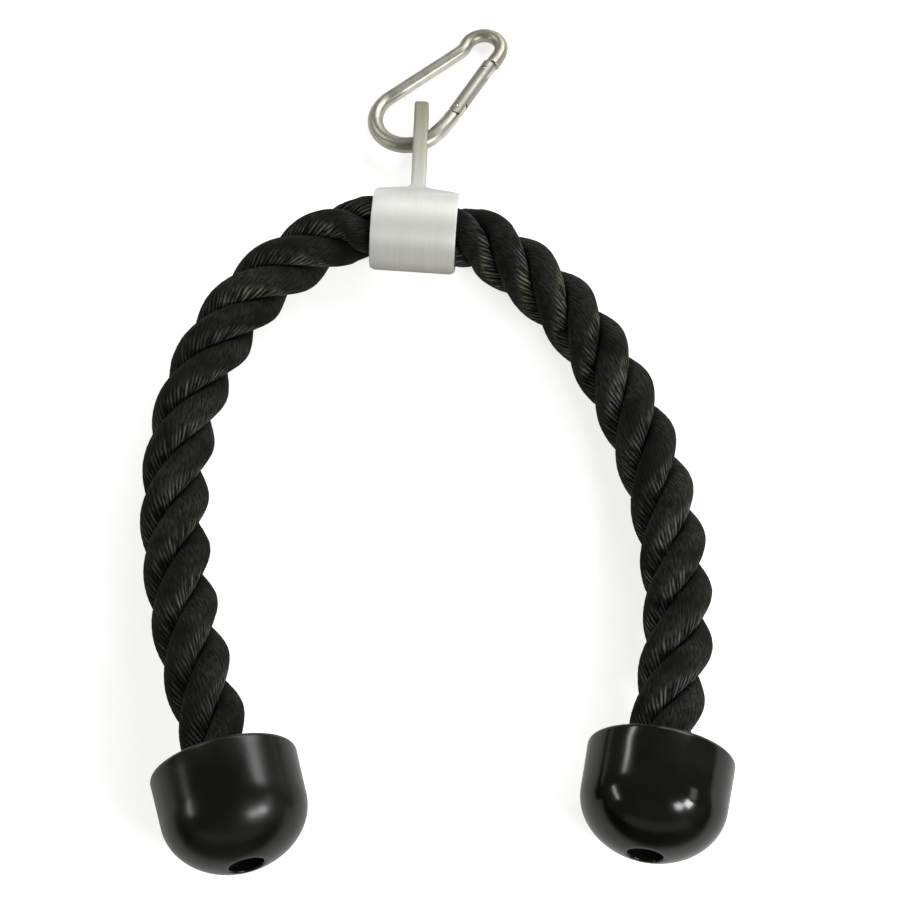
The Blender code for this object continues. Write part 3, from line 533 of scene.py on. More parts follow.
def bright_nickel(s, name, rough, plating=None, bent=False):
    """Nickel-plated drawn steel: bright, a little yellowed, and waved by the plating."""
    made, add, shader = new_material(name)
    place = add(PLACE, out="Object")
    cloud = add(NOISE, {"Vector": place, "Scale": 120.0, "Detail": 3.0})
    fine = add(NOISE, {"Vector": place, "Scale": 900.0, "Detail": 2.0})
    share = stops(add(RAMP, (cloud,)), (0.40, 0.0), (0.75, 0.6))
    if bent:
        # Painted shade: the plating is darker where the wire is bent, at both ends of the hook
        stand = hook_frame(s)
        way = stand.col[0].xyz
        middle = way.dot(stand.translation)
        first = middle - s.big_bend - s.big_wire / 2
        last = middle + s.span + s.small_bend + s.small_wire / 2
        run = add(VECTOR, (place, way), "Value", operation="DOT_PRODUCT")
        bend = add(RAMP, (add(RANGE, (run, first, last)),))
        bend = stops(bend, (0.10, 0.9), (0.24, 0.0), (0.74, 0.0), (0.84, 0.9))
        share = add(MATHS, (share, bend), operation="MAXIMUM")
        fine = add(MATHS, (bend, 0.35, fine), operation="MULTIPLY_ADD")
    tone = add(MIX, {0: share, 6: plating or s.plating, 7: s.worn}, 2, data_type="RGBA")
    gloss = add(RANGE, (fine, 0.3, 0.7, *rough), clamp=False)
    bump = add(BUMP, {"Strength": 0.05, "Distance": 0.0002, "Height": cloud})
    feed(shader, {"Base Color": tone, "Roughness": gloss, "Normal": bump, "Metallic": 1.0})
    return made


def black_oxide():
    """Black-oxide screw steel: dark, slightly oily and uneven in tone."""
    made, add, shader = new_material("black_oxide_steel")
    place = add(PLACE, out="Object")
    cloud = add(NOISE, {"Vector": place, "Scale": 400.0, "Detail": 3.0})
    tone = stops(add(RAMP, (cloud,)), (0.35, linear("#2b2b29")), (0.75, linear("#45433d")))
    feed(shader, {"Base Color": tone, "Metallic": 1.0, "Roughness": 0.42})
    return made


# Rope

WHOLE_TURN = 2 * math.pi

# The length of one step along the route once it is smoothed
ROUTE_STEP = 0.002

# The rope's strands, and how far round each one's yarns start from those of the one before, in
# radians
STRANDS = 3
STRAND_SHIFT = 0.37

# The points that each yarn gets across it, and how round its ridge is: a sine to this power
POINTS_PER_YARN = 4
RIDGE_POWER = 0.7

# A strand's flat sides stand this many strand offsets from its middle, and the higher the second
# number is, the sharper they meet its round side
FLAT_PLACE = 0.8560
SQUARENESS = 9.0

# The laid rope's inputs by the kind of socket that each one needs
LAY_INPUTS = {
    "Geometry": ("Line",),
    "Float": (
        "Strand Offset",
        "Strand Radius",
        "Lay Length",
        "Lay Growth",
        "Start Angle",
        "Yarn Depth",
        "Yarn Lay",
        "Ring Step",
        "Worn Run",
        "Outer Wear",
    ),
    "Int": ("Strands", "Yarns", "Points Per Yarn"),
    "Material": ("Material",),
}


def smooth_curve(points, step):
    """Places about a step apart on a smooth curve through points."""
    points = [Vector(p) for p in points]
    hull = [points[0] * 2 - points[1], *points, points[-1] * 2 - points[-2]]
    dense = []
    for a, b, c, d in zip(hull, hull[1:], hull[2:], hull[3:]):
        for k in range(16):
            t = k / 16
            blend = 2 * b + (c - a) * t + (2 * a - 5 * b + 4 * c - d) * t**2
            dense.append((blend + (3 * b - a - 3 * c + d) * t**3) / 2)
    dense.append(points[-1])
    lengths = [0.0]
    for a, b in zip(dense, dense[1:]):
        lengths.append(lengths[-1] + (b - a).length)
    count = max(1, round(lengths[-1] / step))
    found = []
    i = 1
    for k in range(count + 1):
        target = lengths[-1] * k / count
        while i < len(dense) - 1 and lengths[i] < target:
            i += 1
        share = (target - lengths[i - 1]) / (lengths[i] - lengths[i - 1])
        found.append(dense[i - 1].lerp(dense[i], min(share, 1.0)))
    return found


def cap_frame(side, s):
    """A cap's frame: X runs from the middle of its rim to its far end."""
    x, y, turned_by = CAP_PLACES[side]
    place = Matrix.Translation(Vector((x, y, s.diameter / 2 * math.cos(s.tilt))) + SHIFT)
    lift = Matrix.Rotation(-s.tilt, 4, "Y")
    return place @ Matrix.Rotation(math.radians(turned_by - 90), 4, "Z") @ lift


def collar_frame(s):
    """The collar's frame: X runs along the rope."""
    height = s.bore / 2 + s.thickness
    place = Matrix.Translation(Vector((*COLLAR_PLACE, height)) + SHIFT)
    return place @ Matrix.Rotation(s.yaw, 4, "Z")


def rope_line(side):
    """The middle line of one arm, from the middle of the collar to the bottom of its cap's bore."""
    strap = bpy.context.scene.steel_strap
    caps = bpy.context.scene.end_caps
    toward = -1 if side == "left" else 1
    collar = collar_frame(strap)
    cap = cap_frame(side, caps)
    # The rope keeps straight just outside the collar and the cap, and each arm stops a little short
    # of the collar's middle and of the bore's bottom
    straight = 0.002
    middle_gap = 0.0004
    bottom_gap = 0.0008
    mouth = collar @ Vector((toward * (strap.width / 2 + straight), 0, 0))
    route = [Vector(p) + SHIFT for p in (LEFT_ROUTE if side == "left" else RIGHT_ROUTE)]
    line = smooth_curve([mouth, *route, cap @ Vector((-straight, 0, 0))], ROUTE_STEP)
    start = collar @ Vector((toward * middle_gap, 0, 0))
    end = cap @ Vector((caps.bore_depth - bottom_gap, 0, 0))
    return [start, start.lerp(mouth, 0.5), *line, line[-1].lerp(end, 0.5), end]


def strand_tubes(add, start):
    """A thin tube for each strand along the rope's own middle line, and fields that it keeps."""
    curve = add("GeometryNodeMeshToCurve", {"Mesh": start["Line"]})
    step = {"Curve": curve, "Length": start["Ring Step"]}
    curve = add("GeometryNodeResampleCurve", step, mode="LENGTH")
    strands = {"Geometry": curve, "Amount": start["Strands"]}
    copies = add("GeometryNodeDuplicateElements", strands, domain="SPLINE").node.outputs
    fields = {
        "Centre": ("VECTOR", add("GeometryNodeInputPosition")),
        "Along": ("VECTOR", add("GeometryNodeInputTangent")),
        "Run": ("FLOAT", add("GeometryNodeSplineParameter", out="Length")),
        "Strand": ("FLOAT", copies["Duplicate Index"]),
    }
    kept = add("GeometryNodeCaptureAttribute", (copies["Geometry"],), domain="POINT").node
    for name, (kind, value) in fields.items():
        kept.capture_items.new(kind, name)
        feed(kept, {name: value})
    points = add(MATHS, (start["Yarns"], start["Points Per Yarn"]), operation="MULTIPLY")
    ring = add("GeometryNodeCurvePrimitiveCircle", {"Resolution": points, "Radius": 0.001})
    ring = add("GeometryNodeCaptureAttribute", (ring,), domain="POINT").node
    ring.capture_items.new("FLOAT", "Place")
    feed(ring, {"Place": add("GeometryNodeSplineParameter", out="Factor")})
    sweep = {"Curve": kept.outputs[0], "Profile Curve": ring.outputs[0], "Fill Caps": True}
    skin = add("GeometryNodeCurveToMesh", sweep)
    return skin, *(kept.outputs[name] for name in fields), ring.outputs["Place"]


def strand_radius(add, start, cosine, sine):
    """A strand's radius: it is round outside and flat where it presses on the other two."""
    # The flats face 150 degrees from its outer side, whose sine and cosine are 0.5 and -0.8660
    wall = add(MATHS, (cosine, -0.8660), operation="MULTIPLY")
    slant = add(MATHS, (sine,), operation="ABSOLUTE")
    wall = add(MATHS, (slant, 0.5, wall), operation="MULTIPLY_ADD")
    wall = add(MATHS, (wall, 0.0001), operation="MAXIMUM")
    flat = add(MATHS, (start["Strand Offset"], FLAT_PLACE), operation="MULTIPLY")
    wall = add(MATHS, (wall, flat), operation="DIVIDE")
    wall = add(MATHS, (wall, SQUARENESS), operation="POWER")
    bow = add(MATHS, (1.0, start["Strand Radius"]), operation="DIVIDE")
    bow = add(MATHS, (bow, SQUARENESS), operation="POWER")
    radius = add(MATHS, (bow, wall), operation="ADD")
    radius = add(MATHS, (radius, 1 / SQUARENESS), operation="POWER")
    return add(MATHS, (1.0, radius), operation="DIVIDE")


def raise_yarns(add, start, radius, yarn, sine, spot):
    """The strand's radius with its yarns, the ridge that each makes, and where they stand out."""
    ridge = add(MATHS, (yarn, math.pi), operation="MULTIPLY")
    ridge = add(MATHS, (ridge,), operation="SINE")
    ridge = add(MATHS, (ridge,), operation="ABSOLUTE")
    ridge = add(MATHS, (ridge, RIDGE_POWER), operation="POWER")
    # The strand swells and shrinks by 2.5 % over about 14 mm
    uneven = add(NOISE, {"Vector": spot, "Scale": 70.0, "Detail": 2.0})
    swell = add(MATHS, (uneven, 0.05, 0.975), operation="MULTIPLY_ADD")
    radius = add(MATHS, (radius, swell), operation="MULTIPLY")
    # Yarns stand out most where the strand turns into the groove on its cap side
    edge = add(MATHS, (sine, -1.0), operation="MULTIPLY")
    edge = add(RANGE, (edge, 0.55, 0.88))
    depth = add(MATHS, (edge, 0.6, 0.4), operation="MULTIPLY_ADD")
    depth = add(MATHS, (start["Yarn Depth"], depth), operation="MULTIPLY")
    sunk = add(MATHS, (ridge, 1.0), operation="SUBTRACT")
    sunk = add(MATHS, (sunk, depth), operation="MULTIPLY")
    return add(MATHS, (radius, sunk), operation="ADD"), ridge, edge


def lay_angle(add, start, run, strand):
    """A strand's angle round the rope, whose lay grows longer by a fixed share of the run."""
    grown = add(MATHS, (run, start["Lay Growth"]), operation="MULTIPLY")
    grown = add(MATHS, (grown, start["Lay Length"]), operation="DIVIDE")
    grown = add(MATHS, (grown, 1.0), operation="ADD")
    grown = add(MATHS, (grown, math.e), operation="LOGARITHM")
    lay = add(MATHS, (grown, start["Lay Growth"]), operation="DIVIDE")
    first = (strand, WHOLE_TURN / STRANDS, start["Start Angle"])
    first = add(MATHS, first, operation="MULTIPLY_ADD")
    return add(MATHS, (lay, WHOLE_TURN, first), operation="MULTIPLY_ADD")


def turn_by(add, out, across, lay):
    """How high and how wide a point stands from the rope's middle once it is turned by the lay."""
    cosine = add(MATHS, (lay,), operation="COSINE")
    sine = add(MATHS, (lay,), operation="SINE")
    high = add(MATHS, (out, cosine), operation="MULTIPLY")
    low = add(MATHS, (across, sine), operation="MULTIPLY")
    wide = add(MATHS, (out, sine), operation="MULTIPLY")
    wide = add(MATHS, (across, cosine, wide), operation="MULTIPLY_ADD")
    return add(MATHS, (high, low), operation="SUBTRACT"), wide


def stand_off(add, centre, along, high, wide):
    """The place that stands so high and wide from the rope's own middle line."""
    rise = add("ShaderNodeSeparateXYZ", (along,), "Z")
    up = add(VECTOR, {"Vector": along, "Scale": rise}, operation="SCALE")
    up = add(VECTOR, ((0.0, 0.0, 1.0), up), operation="SUBTRACT")
    up = add(VECTOR, (up,), operation="NORMALIZE")
    side = add(VECTOR, (along, up), operation="CROSS_PRODUCT")
    up = add(VECTOR, {"Vector": up, "Scale": high}, operation="SCALE")
    side = add(VECTOR, {"Vector": side, "Scale": wide}, operation="SCALE")
    spot = add(VECTOR, (up, side), operation="ADD")
    return add(VECTOR, (centre, spot), operation="ADD")


def laid_rope_tree():
    """Geometry nodes that lay strands of yarns round a line of points."""
    tree = bpy.data.node_groups.new("laid_rope", "GeometryNodeTree")
    for kind, names in LAY_INPUTS.items():
        for name in names:
            tree.interface.new_socket(name, in_out="INPUT", socket_type=f"NodeSocket{kind}")
    tree.interface.new_socket("Rope", in_out="OUTPUT", socket_type="NodeSocketGeometry")
    start = tree.nodes.new("NodeGroupInput").outputs
    add = partial(node, tree)
    skin, centre, along, run, strand, place = strand_tubes(add, start)

    # Angle round the strand, which falls back along the rope so that yarns run along it
    spin = add(MATHS, (run, start["Yarn Lay"]), operation="DIVIDE")
    spin = add(MATHS, (spin, -WHOLE_TURN), operation="MULTIPLY")
    angle = add(MATHS, (place, WHOLE_TURN, spin), operation="MULTIPLY_ADD")
    angle = add(MATHS, (strand, STRAND_SHIFT, angle), operation="MULTIPLY_ADD")
    cosine = add(MATHS, (angle,), operation="COSINE")
    sine = add(MATHS, (angle,), operation="SINE")
    radius = strand_radius(add, start, cosine, sine)
    yarn = add(MATHS, (place, start["Yarns"]), operation="MULTIPLY")
    # Each strand swells in other places
    spot = add(VECTOR, {"Vector": along, "Scale": strand}, operation="SCALE")
    spot = add(VECTOR, (centre, spot), operation="ADD")
    radius, ridge, edge = raise_yarns(add, start, radius, yarn, sine, spot)

    out = add(MATHS, (radius, cosine, start["Strand Offset"]), operation="MULTIPLY_ADD")
    across = add(MATHS, (radius, sine), operation="MULTIPLY")
    high, wide = turn_by(add, out, across, lay_angle(add, start, run, strand))
    spot = stand_off(add, centre, along, high, wide)
    skin = add("GeometryNodeSetPosition", {"Geometry": skin, "Position": spot})

    # Paler fibre beside the collar and on the left arm's inner side: a painted sheen, partly also
    # handling marks
    wear = add(RANGE, (run, 0.0, start["Worn Run"], 1.0, 0.5))
    outer = add(RANGE, (wide, -0.004, 0.010, 1.0, start["Outer Wear"]))
    wear = add(MATHS, (wear, outer), operation="MULTIPLY")
    # The fibre's material reads these
    stored = (
        ("yarn", add("ShaderNodeCombineXYZ", (run, yarn)), "FLOAT2", "CORNER"),
        ("crest", ridge, "FLOAT", "POINT"),
        ("edge", edge, "FLOAT", "POINT"),
        ("wear", wear, "FLOAT", "POINT"),
    )
    for name, value, kind, domain in stored:
        named = {"Geometry": skin, "Name": name, "Value": value}
        skin = add("GeometryNodeStoreNamedAttribute", named, data_type=kind, domain=domain)
    skin = add("GeometryNodeSetShadeSmooth", {"Geometry": skin})
    skin = add("GeometryNodeRealizeInstances", {"Geometry": skin})
    skin = add("GeometryNodeSetMaterial", {"Geometry": skin, "Material": start["Material"]})
    add("NodeGroupOutput", (skin,))
    return tree


def socket_key(tree, name):
    """The identifier of a tree's input of that name."""
    found = [i for i in tree.interface.items_tree if i.name == name and i.in_out == "INPUT"]
    return found[0].identifier


class ROPE_OT_arms(bpy.types.Operator):
    """Lay the rope's strands along both arms"""

    bl_idname = "attachment.rope"
    bl_label = "Laid Rope"

    def execute(self, context):
        s = context.scene.laid_rope
        look = laid_fibre(s)
        tree = laid_rope_tree()
        for side, start, lay_length, end_lay, outer_wear_and_sheen in (
            ("left", s.left_start, s.left_lay, s.left_end_lay, s.outer_wear_and_sheen),
            ("right", s.right_start, s.right_lay, s.right_end_lay, 1.0),
        ):
            line = rope_line(side)
            total = sum((b - a).length for a, b in zip(line, line[1:]))
            links = [(i, i + 1) for i in range(len(line) - 1)]
            made = new_object(f"rope_{side}_strands", line, [], links)
            lay = made.modifiers.new("lay", "NODES")
            lay.node_group = tree
            values = {
                "Strand Offset": s.strand_offset,
                "Strand Radius": s.diameter / 2 - s.strand_offset,
                "Lay Length": lay_length,
                "Lay Growth": (end_lay - lay_length) / total,
                "Start Angle": start,
                "Yarn Depth": s.yarn_depth,
                "Yarn Lay": s.yarn_lay,
                "Ring Step": s.ring_step,
                "Worn Run": s.worn_run,
                "Outer Wear": outer_wear_and_sheen,
                "Strands": STRANDS,
                "Yarns": s.yarns,
                "Points Per Yarn": POINTS_PER_YARN,
                "Material": look,
            }
            for name, value in values.items():
                lay[socket_key(tree, name)] = value
            flatten(made)
            turn_outwards(made.data)
            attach(made, "rope_assembly")
            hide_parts(f"rope_{side}")
        return {"FINISHED"}


# Caps


def cap_profile(s):
    """The cap's profile of (radius, place) from its mouth round the outside and back inside."""
    radius = s.diameter / 2
    bore = s.bore / 2
    hole = s.hole / 2
    rim = 0.0020
    lip = 0.0008
    chamfer = 0.0012
    corner = 0.0006
    wall_rings = (0.006, 0.010, 0.015)
    lean = math.tan(s.draft)
    wall = radius - s.wall * lean
    edge = math.asin((hole + lip) / wall)
    depth = (s.length - s.wall) / math.cos(edge)
    steps = 24
    dome = []
    for k in range(steps + 1):
        t = math.pi / 2 + (edge - math.pi / 2) * k / steps
        dome.append((wall * math.sin(t), s.wall + depth * math.cos(t)))
    end = dome[-1][1]
    web_end = s.bore_depth + s.web
    return [
        (bore + chamfer, 0),
        *[(r, a) for a, r in arc((rim, radius - rim), rim, 180, 90, 8)],
        *[(radius - a * lean, a) for a in wall_rings],
        *dome[:-1],
        *[(r, a) for a, r in arc((end - lip, hole + lip), lip, 0, -90, 5)],
        (hole, web_end + corner),
        (hole - corner, web_end),
        (s.screw_hole / 2, web_end),
        (s.screw_hole / 2, s.bore_depth),
        (bore, s.bore_depth),
        (bore, chamfer),
    ]


class ROPE_OT_caps(bpy.types.Operator):
    """Turn the two rubber end caps"""

    bl_idname = "attachment.caps"
    bl_label = "End Caps"

    def execute(self, context):
        s = context.scene.end_caps
        for side, name, rough in (
            ("left", "moulded_black_rubber_dulled", 0.22),
            ("right", "moulded_black_rubber", 0.13),
        ):
            shape = turned(cap_profile(s), 128)
            made = add_object(f"rubber_cap_{side}", *shape, place=cap_frame(side, s))
            look = moulded_rubber(s, name, rough)
            settle(made, look, "rope_assembly", f"end_cap_{side}")
        return {"FINISHED"}


# Strap

# Steps round the rope in the upper leaf and in the lower one
UPPER_STEPS = 90
LOWER_STEPS = 60

# Half the weld's width, and how high it stands over the steel
WELD_HALF = 0.0018
WELD_HEIGHT = 0.0006

# The blank's edges grow rounder over this length past the shoulder
EASE_RUN = 0.01

# The last step of the blank's UV map, across the seam
SEAM_STEP = 0.0003


def strap_line(s, seam, steps):
    """The middle line from the seam round the rope and out along one leg of the eye."""
    middle = (s.bore + s.thickness) / 2
    leg = (s.eye_gap + s.thickness) / 2
    leave = math.asin((leg + s.bend) / (middle + s.bend))
    line = []
    for k in range(steps + 1):
        t = seam + (leave - seam) * k / steps
        line.append((middle * math.cos(t), middle * math.sin(t), t))
    centre = [(middle + s.bend) * w for w in (math.cos(leave), math.sin(leave))]
    bend_steps = 24
    for k in range(1, bend_steps + 1):
        t = leave + (math.pi / 2 - leave) * k / bend_steps
        line.append((centre[0] - s.bend * math.cos(t), centre[1] - s.bend * math.sin(t), t))
    flat = line[-1][0]
    leg_steps = 12
    for k in range(1, leg_steps + 1):
        line.append((flat + (s.fold - flat) * k / leg_steps, leg, math.pi / 2))
    return line


def shoulder_outline(s):
    """Distances past the shoulder's start where its corner, slope and fillet end."""
    corner_end = s.corner * math.cos(s.slope)
    line_half = s.width / 2 - s.corner * (1 - math.sin(s.slope))
    fillet_middle = s.eye_width / 2 + s.fillet
    push = s.fillet + (line_half - fillet_middle) * math.sin(s.slope)
    fillet_end = corner_end + push / math.cos(s.slope)
    return corner_end, fillet_end - s.fillet * math.cos(s.slope), fillet_end


def strap_half(s, along, shoulder):
    """Half the blank's width at a distance from the seam."""
    inner = s.width / 2 - s.corner
    corner_end, slope_end, fillet_end = shoulder_outline(s)
    past = along - shoulder
    if along < s.corner:
        return inner + math.sqrt(s.corner**2 - (s.corner - along) ** 2)
    if past <= 0:
        return s.width / 2
    if past < corner_end:
        return inner + math.sqrt(s.corner**2 - past**2)
    if past < slope_end:
        return inner + s.corner * math.sin(s.slope) - (past - corner_end) / math.tan(s.slope)
    if past < fillet_end:
        rise = math.sqrt(s.fillet**2 - (fillet_end - past) ** 2)
        return s.eye_width / 2 + s.fillet - rise
    return s.eye_width / 2


def weld_rise(along):
    """How far the weld stands out of the strap at a distance from the seam."""
    if along >= WELD_HALF:
        return 0.0
    return WELD_HEIGHT / 2 * (1 + math.cos(math.pi * along / WELD_HALF))


def eye_lean(s, reach):
    """How far the eye leans to the left at a reach from the rope's middle."""
    return math.tan(s.skew) * max(0.0, reach - s.bore / 2 - s.thickness)


def strap_ring(s, place, way, half, rise, past):
    """The strap's cross-section: a flat bar with rounded edges, rounder along the eye."""
    top = s.thickness / 2 + rise
    low = -s.thickness / 2
    ease = s.edge + (s.eye_edge - s.edge) * min(max(past / EASE_RUN, 0.0), 1.0)
    corners = []
    for x, h, first in ((half, top, 90), (half, low, 0), (-half, low, -90), (-half, top, -180)):
        centre = (x - math.copysign(ease, x), h - math.copysign(ease, h))
        corners.append(arc(centre, ease, first, first - 90, 4))
    section = []
    for i, corner in enumerate(corners):
        section += corner
        # A broad face runs on from every second corner, in six strips
        if i in (1, 3):
            x, h = corner[-1]
            to_x, to_h = corners[(i + 1) % 4][0]
            section += [(x + (to_x - x) * k / 6, h + (to_h - h) * k / 6) for k in range(1, 6)]
    out = (math.cos(way), math.sin(way))
    aside = eye_lean(s, place[0])
    return [(x - aside, place[0] + out[0] * h, place[1] + out[1] * h) for x, h in section]


def strap_leaf(s, seam, steps):
    """Stations of one leaf from its seam to the fold: place, angle, half, rise, distance."""
    line = strap_line(s, seam, steps)
    lengths = [0.0]
    for a, b in zip(line, line[1:]):
        lengths.append(lengths[-1] + math.dist(a[:2], b[:2]))
    shoulder = lengths[steps] + s.start
    corner_end, slope_end, fillet_end = shoulder_outline(s)
    # Stations stand close together where the weld, the corners and the fillet are round
    quarter = [math.pi / 2 * k / 12 for k in range(13)]
    wanted = [WELD_HALF * k / 12 for k in range(13)]
    wanted += [s.corner * (1 - math.cos(t)) for t in quarter]
    wanted += [shoulder + corner_end * math.sin(t) for t in quarter]
    wanted += [shoulder + corner_end + (slope_end - corner_end) * k / 6 for k in range(7)]
    wanted += [shoulder + fillet_end - (fillet_end - slope_end) * math.cos(t) for t in quarter]
    wanted += [d for d in lengths if s.corner < d < shoulder or d > shoulder + fillet_end]
    stations = []
    for along in sorted({round(d, 8) for d in wanted}):
        i = next((j for j in range(1, len(lengths)) if lengths[j] >= along), len(lengths) - 1)
        share = (along - lengths[i - 1]) / (lengths[i] - lengths[i - 1])
        x, y, way = (a + (b - a) * share for a, b in zip(line[i - 1], line[i]))
        half = strap_half(s, along, shoulder)
        stations.append(((x, y), way, half, weld_rise(along), along - shoulder))
    return stations


def strap_stations(s):
    """Stations all along the blank, and how far past its shoulder the upper leaf ends."""
    stations = strap_leaf(s, s.seam, UPPER_STEPS)
    leg = (s.eye_gap + s.thickness) / 2
    top = stations[-1][4]
    steps = 28
    for k in range(1, steps):
        t = math.pi / 2 - math.pi * k / steps
        place = (s.fold + leg * math.cos(t), leg * math.sin(t))
        stations.append((place, t, s.eye_width / 2, 0, top + leg * math.pi * k / steps))
    lower = strap_leaf(s, WHOLE_TURN - s.seam, LOWER_STEPS)
    for (x, y), way, half, rise, past in reversed(lower[1:]):
        stations.append(((x, -y), -way, half, rise, past))
    return stations, top


def unroll(mesh, stations, around):
    """Lays the blank's UV map out flat in metres: U along its length and V across it."""
    blank = mesh.uv_layers.new(name="blank")
    run = [0.0]
    for a, b in zip(stations, stations[1:]):
        run.append(run[-1] + math.dist(a[0], b[0]))
    for face in mesh.polygons:
        rows = [v // around for v in face.vertices]
        wraps = max(rows) - min(rows) > 1
        for loop, vertex, row in zip(face.loop_indices, face.vertices, rows):
            u = run[-1] + SEAM_STEP if wraps and row == 0 else run[row]
            blank.data[loop].uv = (u, mesh.vertices[vertex].co.x)


class ROPE_OT_strap(bpy.types.Operator):
    """Fold the steel strap round the rope and into its eye"""

    bl_idname = "attachment.strap"
    bl_label = "Steel Strap"

    def execute(self, context):
        s = context.scene.steel_strap
        stations, top = strap_stations(s)
        rings = [strap_ring(s, *station) for station in stations]
        around = len(rings[0])
        made = new_object("folded_strap", *loft(rings, closed=True))
        unroll(made.data, stations, around)
        # Painted shade: the narrow neck, the eye and the collar's underside are darkened toward an
        # olive grey
        painted_shade = made.data.attributes.new("painted_shade", "FLOAT", "POINT")
        for i, (_, way, _, _, past) in enumerate(stations):
            neck = 0.85 * max(min(past / top, 1.0), 0.0) ** 0.6
            under = 0.75 - abs(math.degrees(way) % 360 - math.degrees(s.seam)) / 110
            for k in range(around):
                painted_shade.data[i * around + k].value = max(neck, under)
        made.data.transform(collar_frame(s) @ Matrix.Rotation(s.droop, 4, "X"))
        settle(made, brushed_zinc(s), "rope_assembly", "strap")
        return {"FINISHED"}


# Snap hook

# Where the two bends start and end, in degrees round each one's middle
SMALL_BEND_START = -52
SMALL_BEND_END = 112
BIG_BEND_END = 265

# The tongues: half their width, their corners' radius, and how far their roots run back into
# the wire
TONGUE_HALF = 0.0030
TONGUE_CORNER = 0.0004
TONGUE_ROOT = 0.0016

# Room on each side of a tongue in its slot, across a pin in its hole and along the latch's notch,
# and how much nearer to the gate the nose stands than the hinge
TONGUE_ROOM = 0.0003
PIN_ROOM = 0.0003
NOTCH_ROOM = 0.0004
NOSE_LAP = 0.0001

# The spring's bore in the gate: its radius and how far it runs from the hinge
BORE_RADIUS = 0.0019
BORE_END = 0.017

# How far the rivet's heads stand out of the gate, and the height of both pins' domed ends
RIVET_PROUD = 0.0003
RIVET_DOME = 0.0005
PIN_DOME = 0.0004

# How far a cutter runs past what it cuts
PAST = 0.002


def hook_frame(s):
    """The snap hook's frame, at the middle of its big bend, with Z square to its plane."""
    strap = bpy.context.scene.steel_strap
    along = Vector(HOOK_ALONG).normalized()
    side = Vector(HOOK_ACROSS)
    side = (side - along * side.dot(along)).normalized()
    turned_by = Matrix((along, side, along.cross(side))).transposed().to_4x4()
    reach = strap.fold + strap.eye_gap / 2 - s.big_wire / 2 - s.seat_back
    eye = collar_frame(strap) @ Matrix.Rotation(strap.droop, 4, "X")
    seat = eye @ Vector((-s.seat_aside - eye_lean(strap, reach), reach, -s.seat_drop))
    on_bend = Vector((s.big_bend * math.cos(s.seat), s.big_bend * math.sin(s.seat), 0))
    return Matrix.Translation(seat - turned_by @ on_bend) @ turned_by


def hermite(start, start_way, end, end_way, steps):
    """Places between two points of a plane, leaving and arriving along given directions."""
    span = math.dist(start, end)
    parts = (start, [span * w for w in start_way], end, [span * w for w in end_way])
    found = []
    for k in range(1, steps):
        t = k / steps
        shares = (2 * t**3 - 3 * t**2 + 1, t**3 - 2 * t**2 + t, 3 * t**2 - 2 * t**3, t**3 - t**2)
        found.append(tuple(sum(w * p[i] for w, p in zip(shares, parts)) for i in range(2)))
    return found


def heading(degrees):
    """The direction in which an arc runs on at an angle round it."""
    t = math.radians(degrees + 90)
    return math.cos(t), math.sin(t)


def gate_ways(s):
    """The gate's direction from its hinge to the nose, and the inward direction square to it."""
    along = (math.cos(s.gate_lean), math.sin(s.gate_lean))
    return along, (-along[1], along[0])


def gate_point(s, distance, inward_distance=0.0):
    """A place in the hook's plane, given along the gate from its hinge and inward from it."""
    along, inward = gate_ways(s)
    return tuple(
        (s.reach + distance) * along[i] + (inward_distance - s.standoff) * inward[i]
        for i in range(2)
    )


def gate_frame(s):
    """The gate's frame: its origin on the hinge and X along the gate."""
    x, y = gate_point(s, 0)
    return hook_frame(s) @ Matrix.Translation((x, y, 0)) @ Matrix.Rotation(s.gate_lean, 4, "Z")


def hook_path(s):
    """The wire's middle line from the nose round to the hinge, as (x, y, wire radius)."""
    along, _ = gate_ways(s)
    nose = gate_point(s, s.gate_length + s.gap - NOSE_LAP, -s.nose_proud)
    small = arc((s.span, 0), s.small_bend, SMALL_BEND_START, SMALL_BEND_END, 48)
    into_small = hermite(nose, along, small[0], heading(SMALL_BEND_START), 16)
    lean = s.spine_lean
    foot = (s.big_bend * math.sin(lean), s.big_bend * math.cos(lean))
    spine_way = (-math.cos(lean), math.sin(lean))
    run = (small[-1][0] - foot[0]) / math.cos(lean) - s.kink
    head = (foot[0] - spine_way[0] * run, foot[1] - spine_way[1] * run)
    kink = hermite(small[-1], heading(SMALL_BEND_END), head, spine_way, 20)
    spine = [tuple(head[i] + (foot[i] - head[i]) * k / 12 for i in range(2)) for k in range(13)]
    big = arc((0, 0), s.big_bend, 90 - math.degrees(lean), BIG_BEND_END, 88)[1:]
    end = gate_point(s, -s.gate / 2 - s.gap)
    into_hinge = hermite(big[-1], heading(BIG_BEND_END), end, along, 16)
    # The wire is back to its full size this many points into the big bend
    full = 32
    runs = (
        ([nose, *into_small], s.nose_wire, s.small_wire),
        (small, s.small_wire, s.small_wire),
        ([*kink, *spine], s.small_wire, s.spine_wire),
        (big[:full], s.spine_wire, s.big_wire),
        ([*big[full:], *into_hinge, end], s.big_wire, s.big_wire),
    )
    path = []
    for places, first, last in runs:
        for k, place in enumerate(places):
            share = k / max(1, len(places) - 1)
            path.append((*place, (first + (last - first) * share) / 2))
    return path


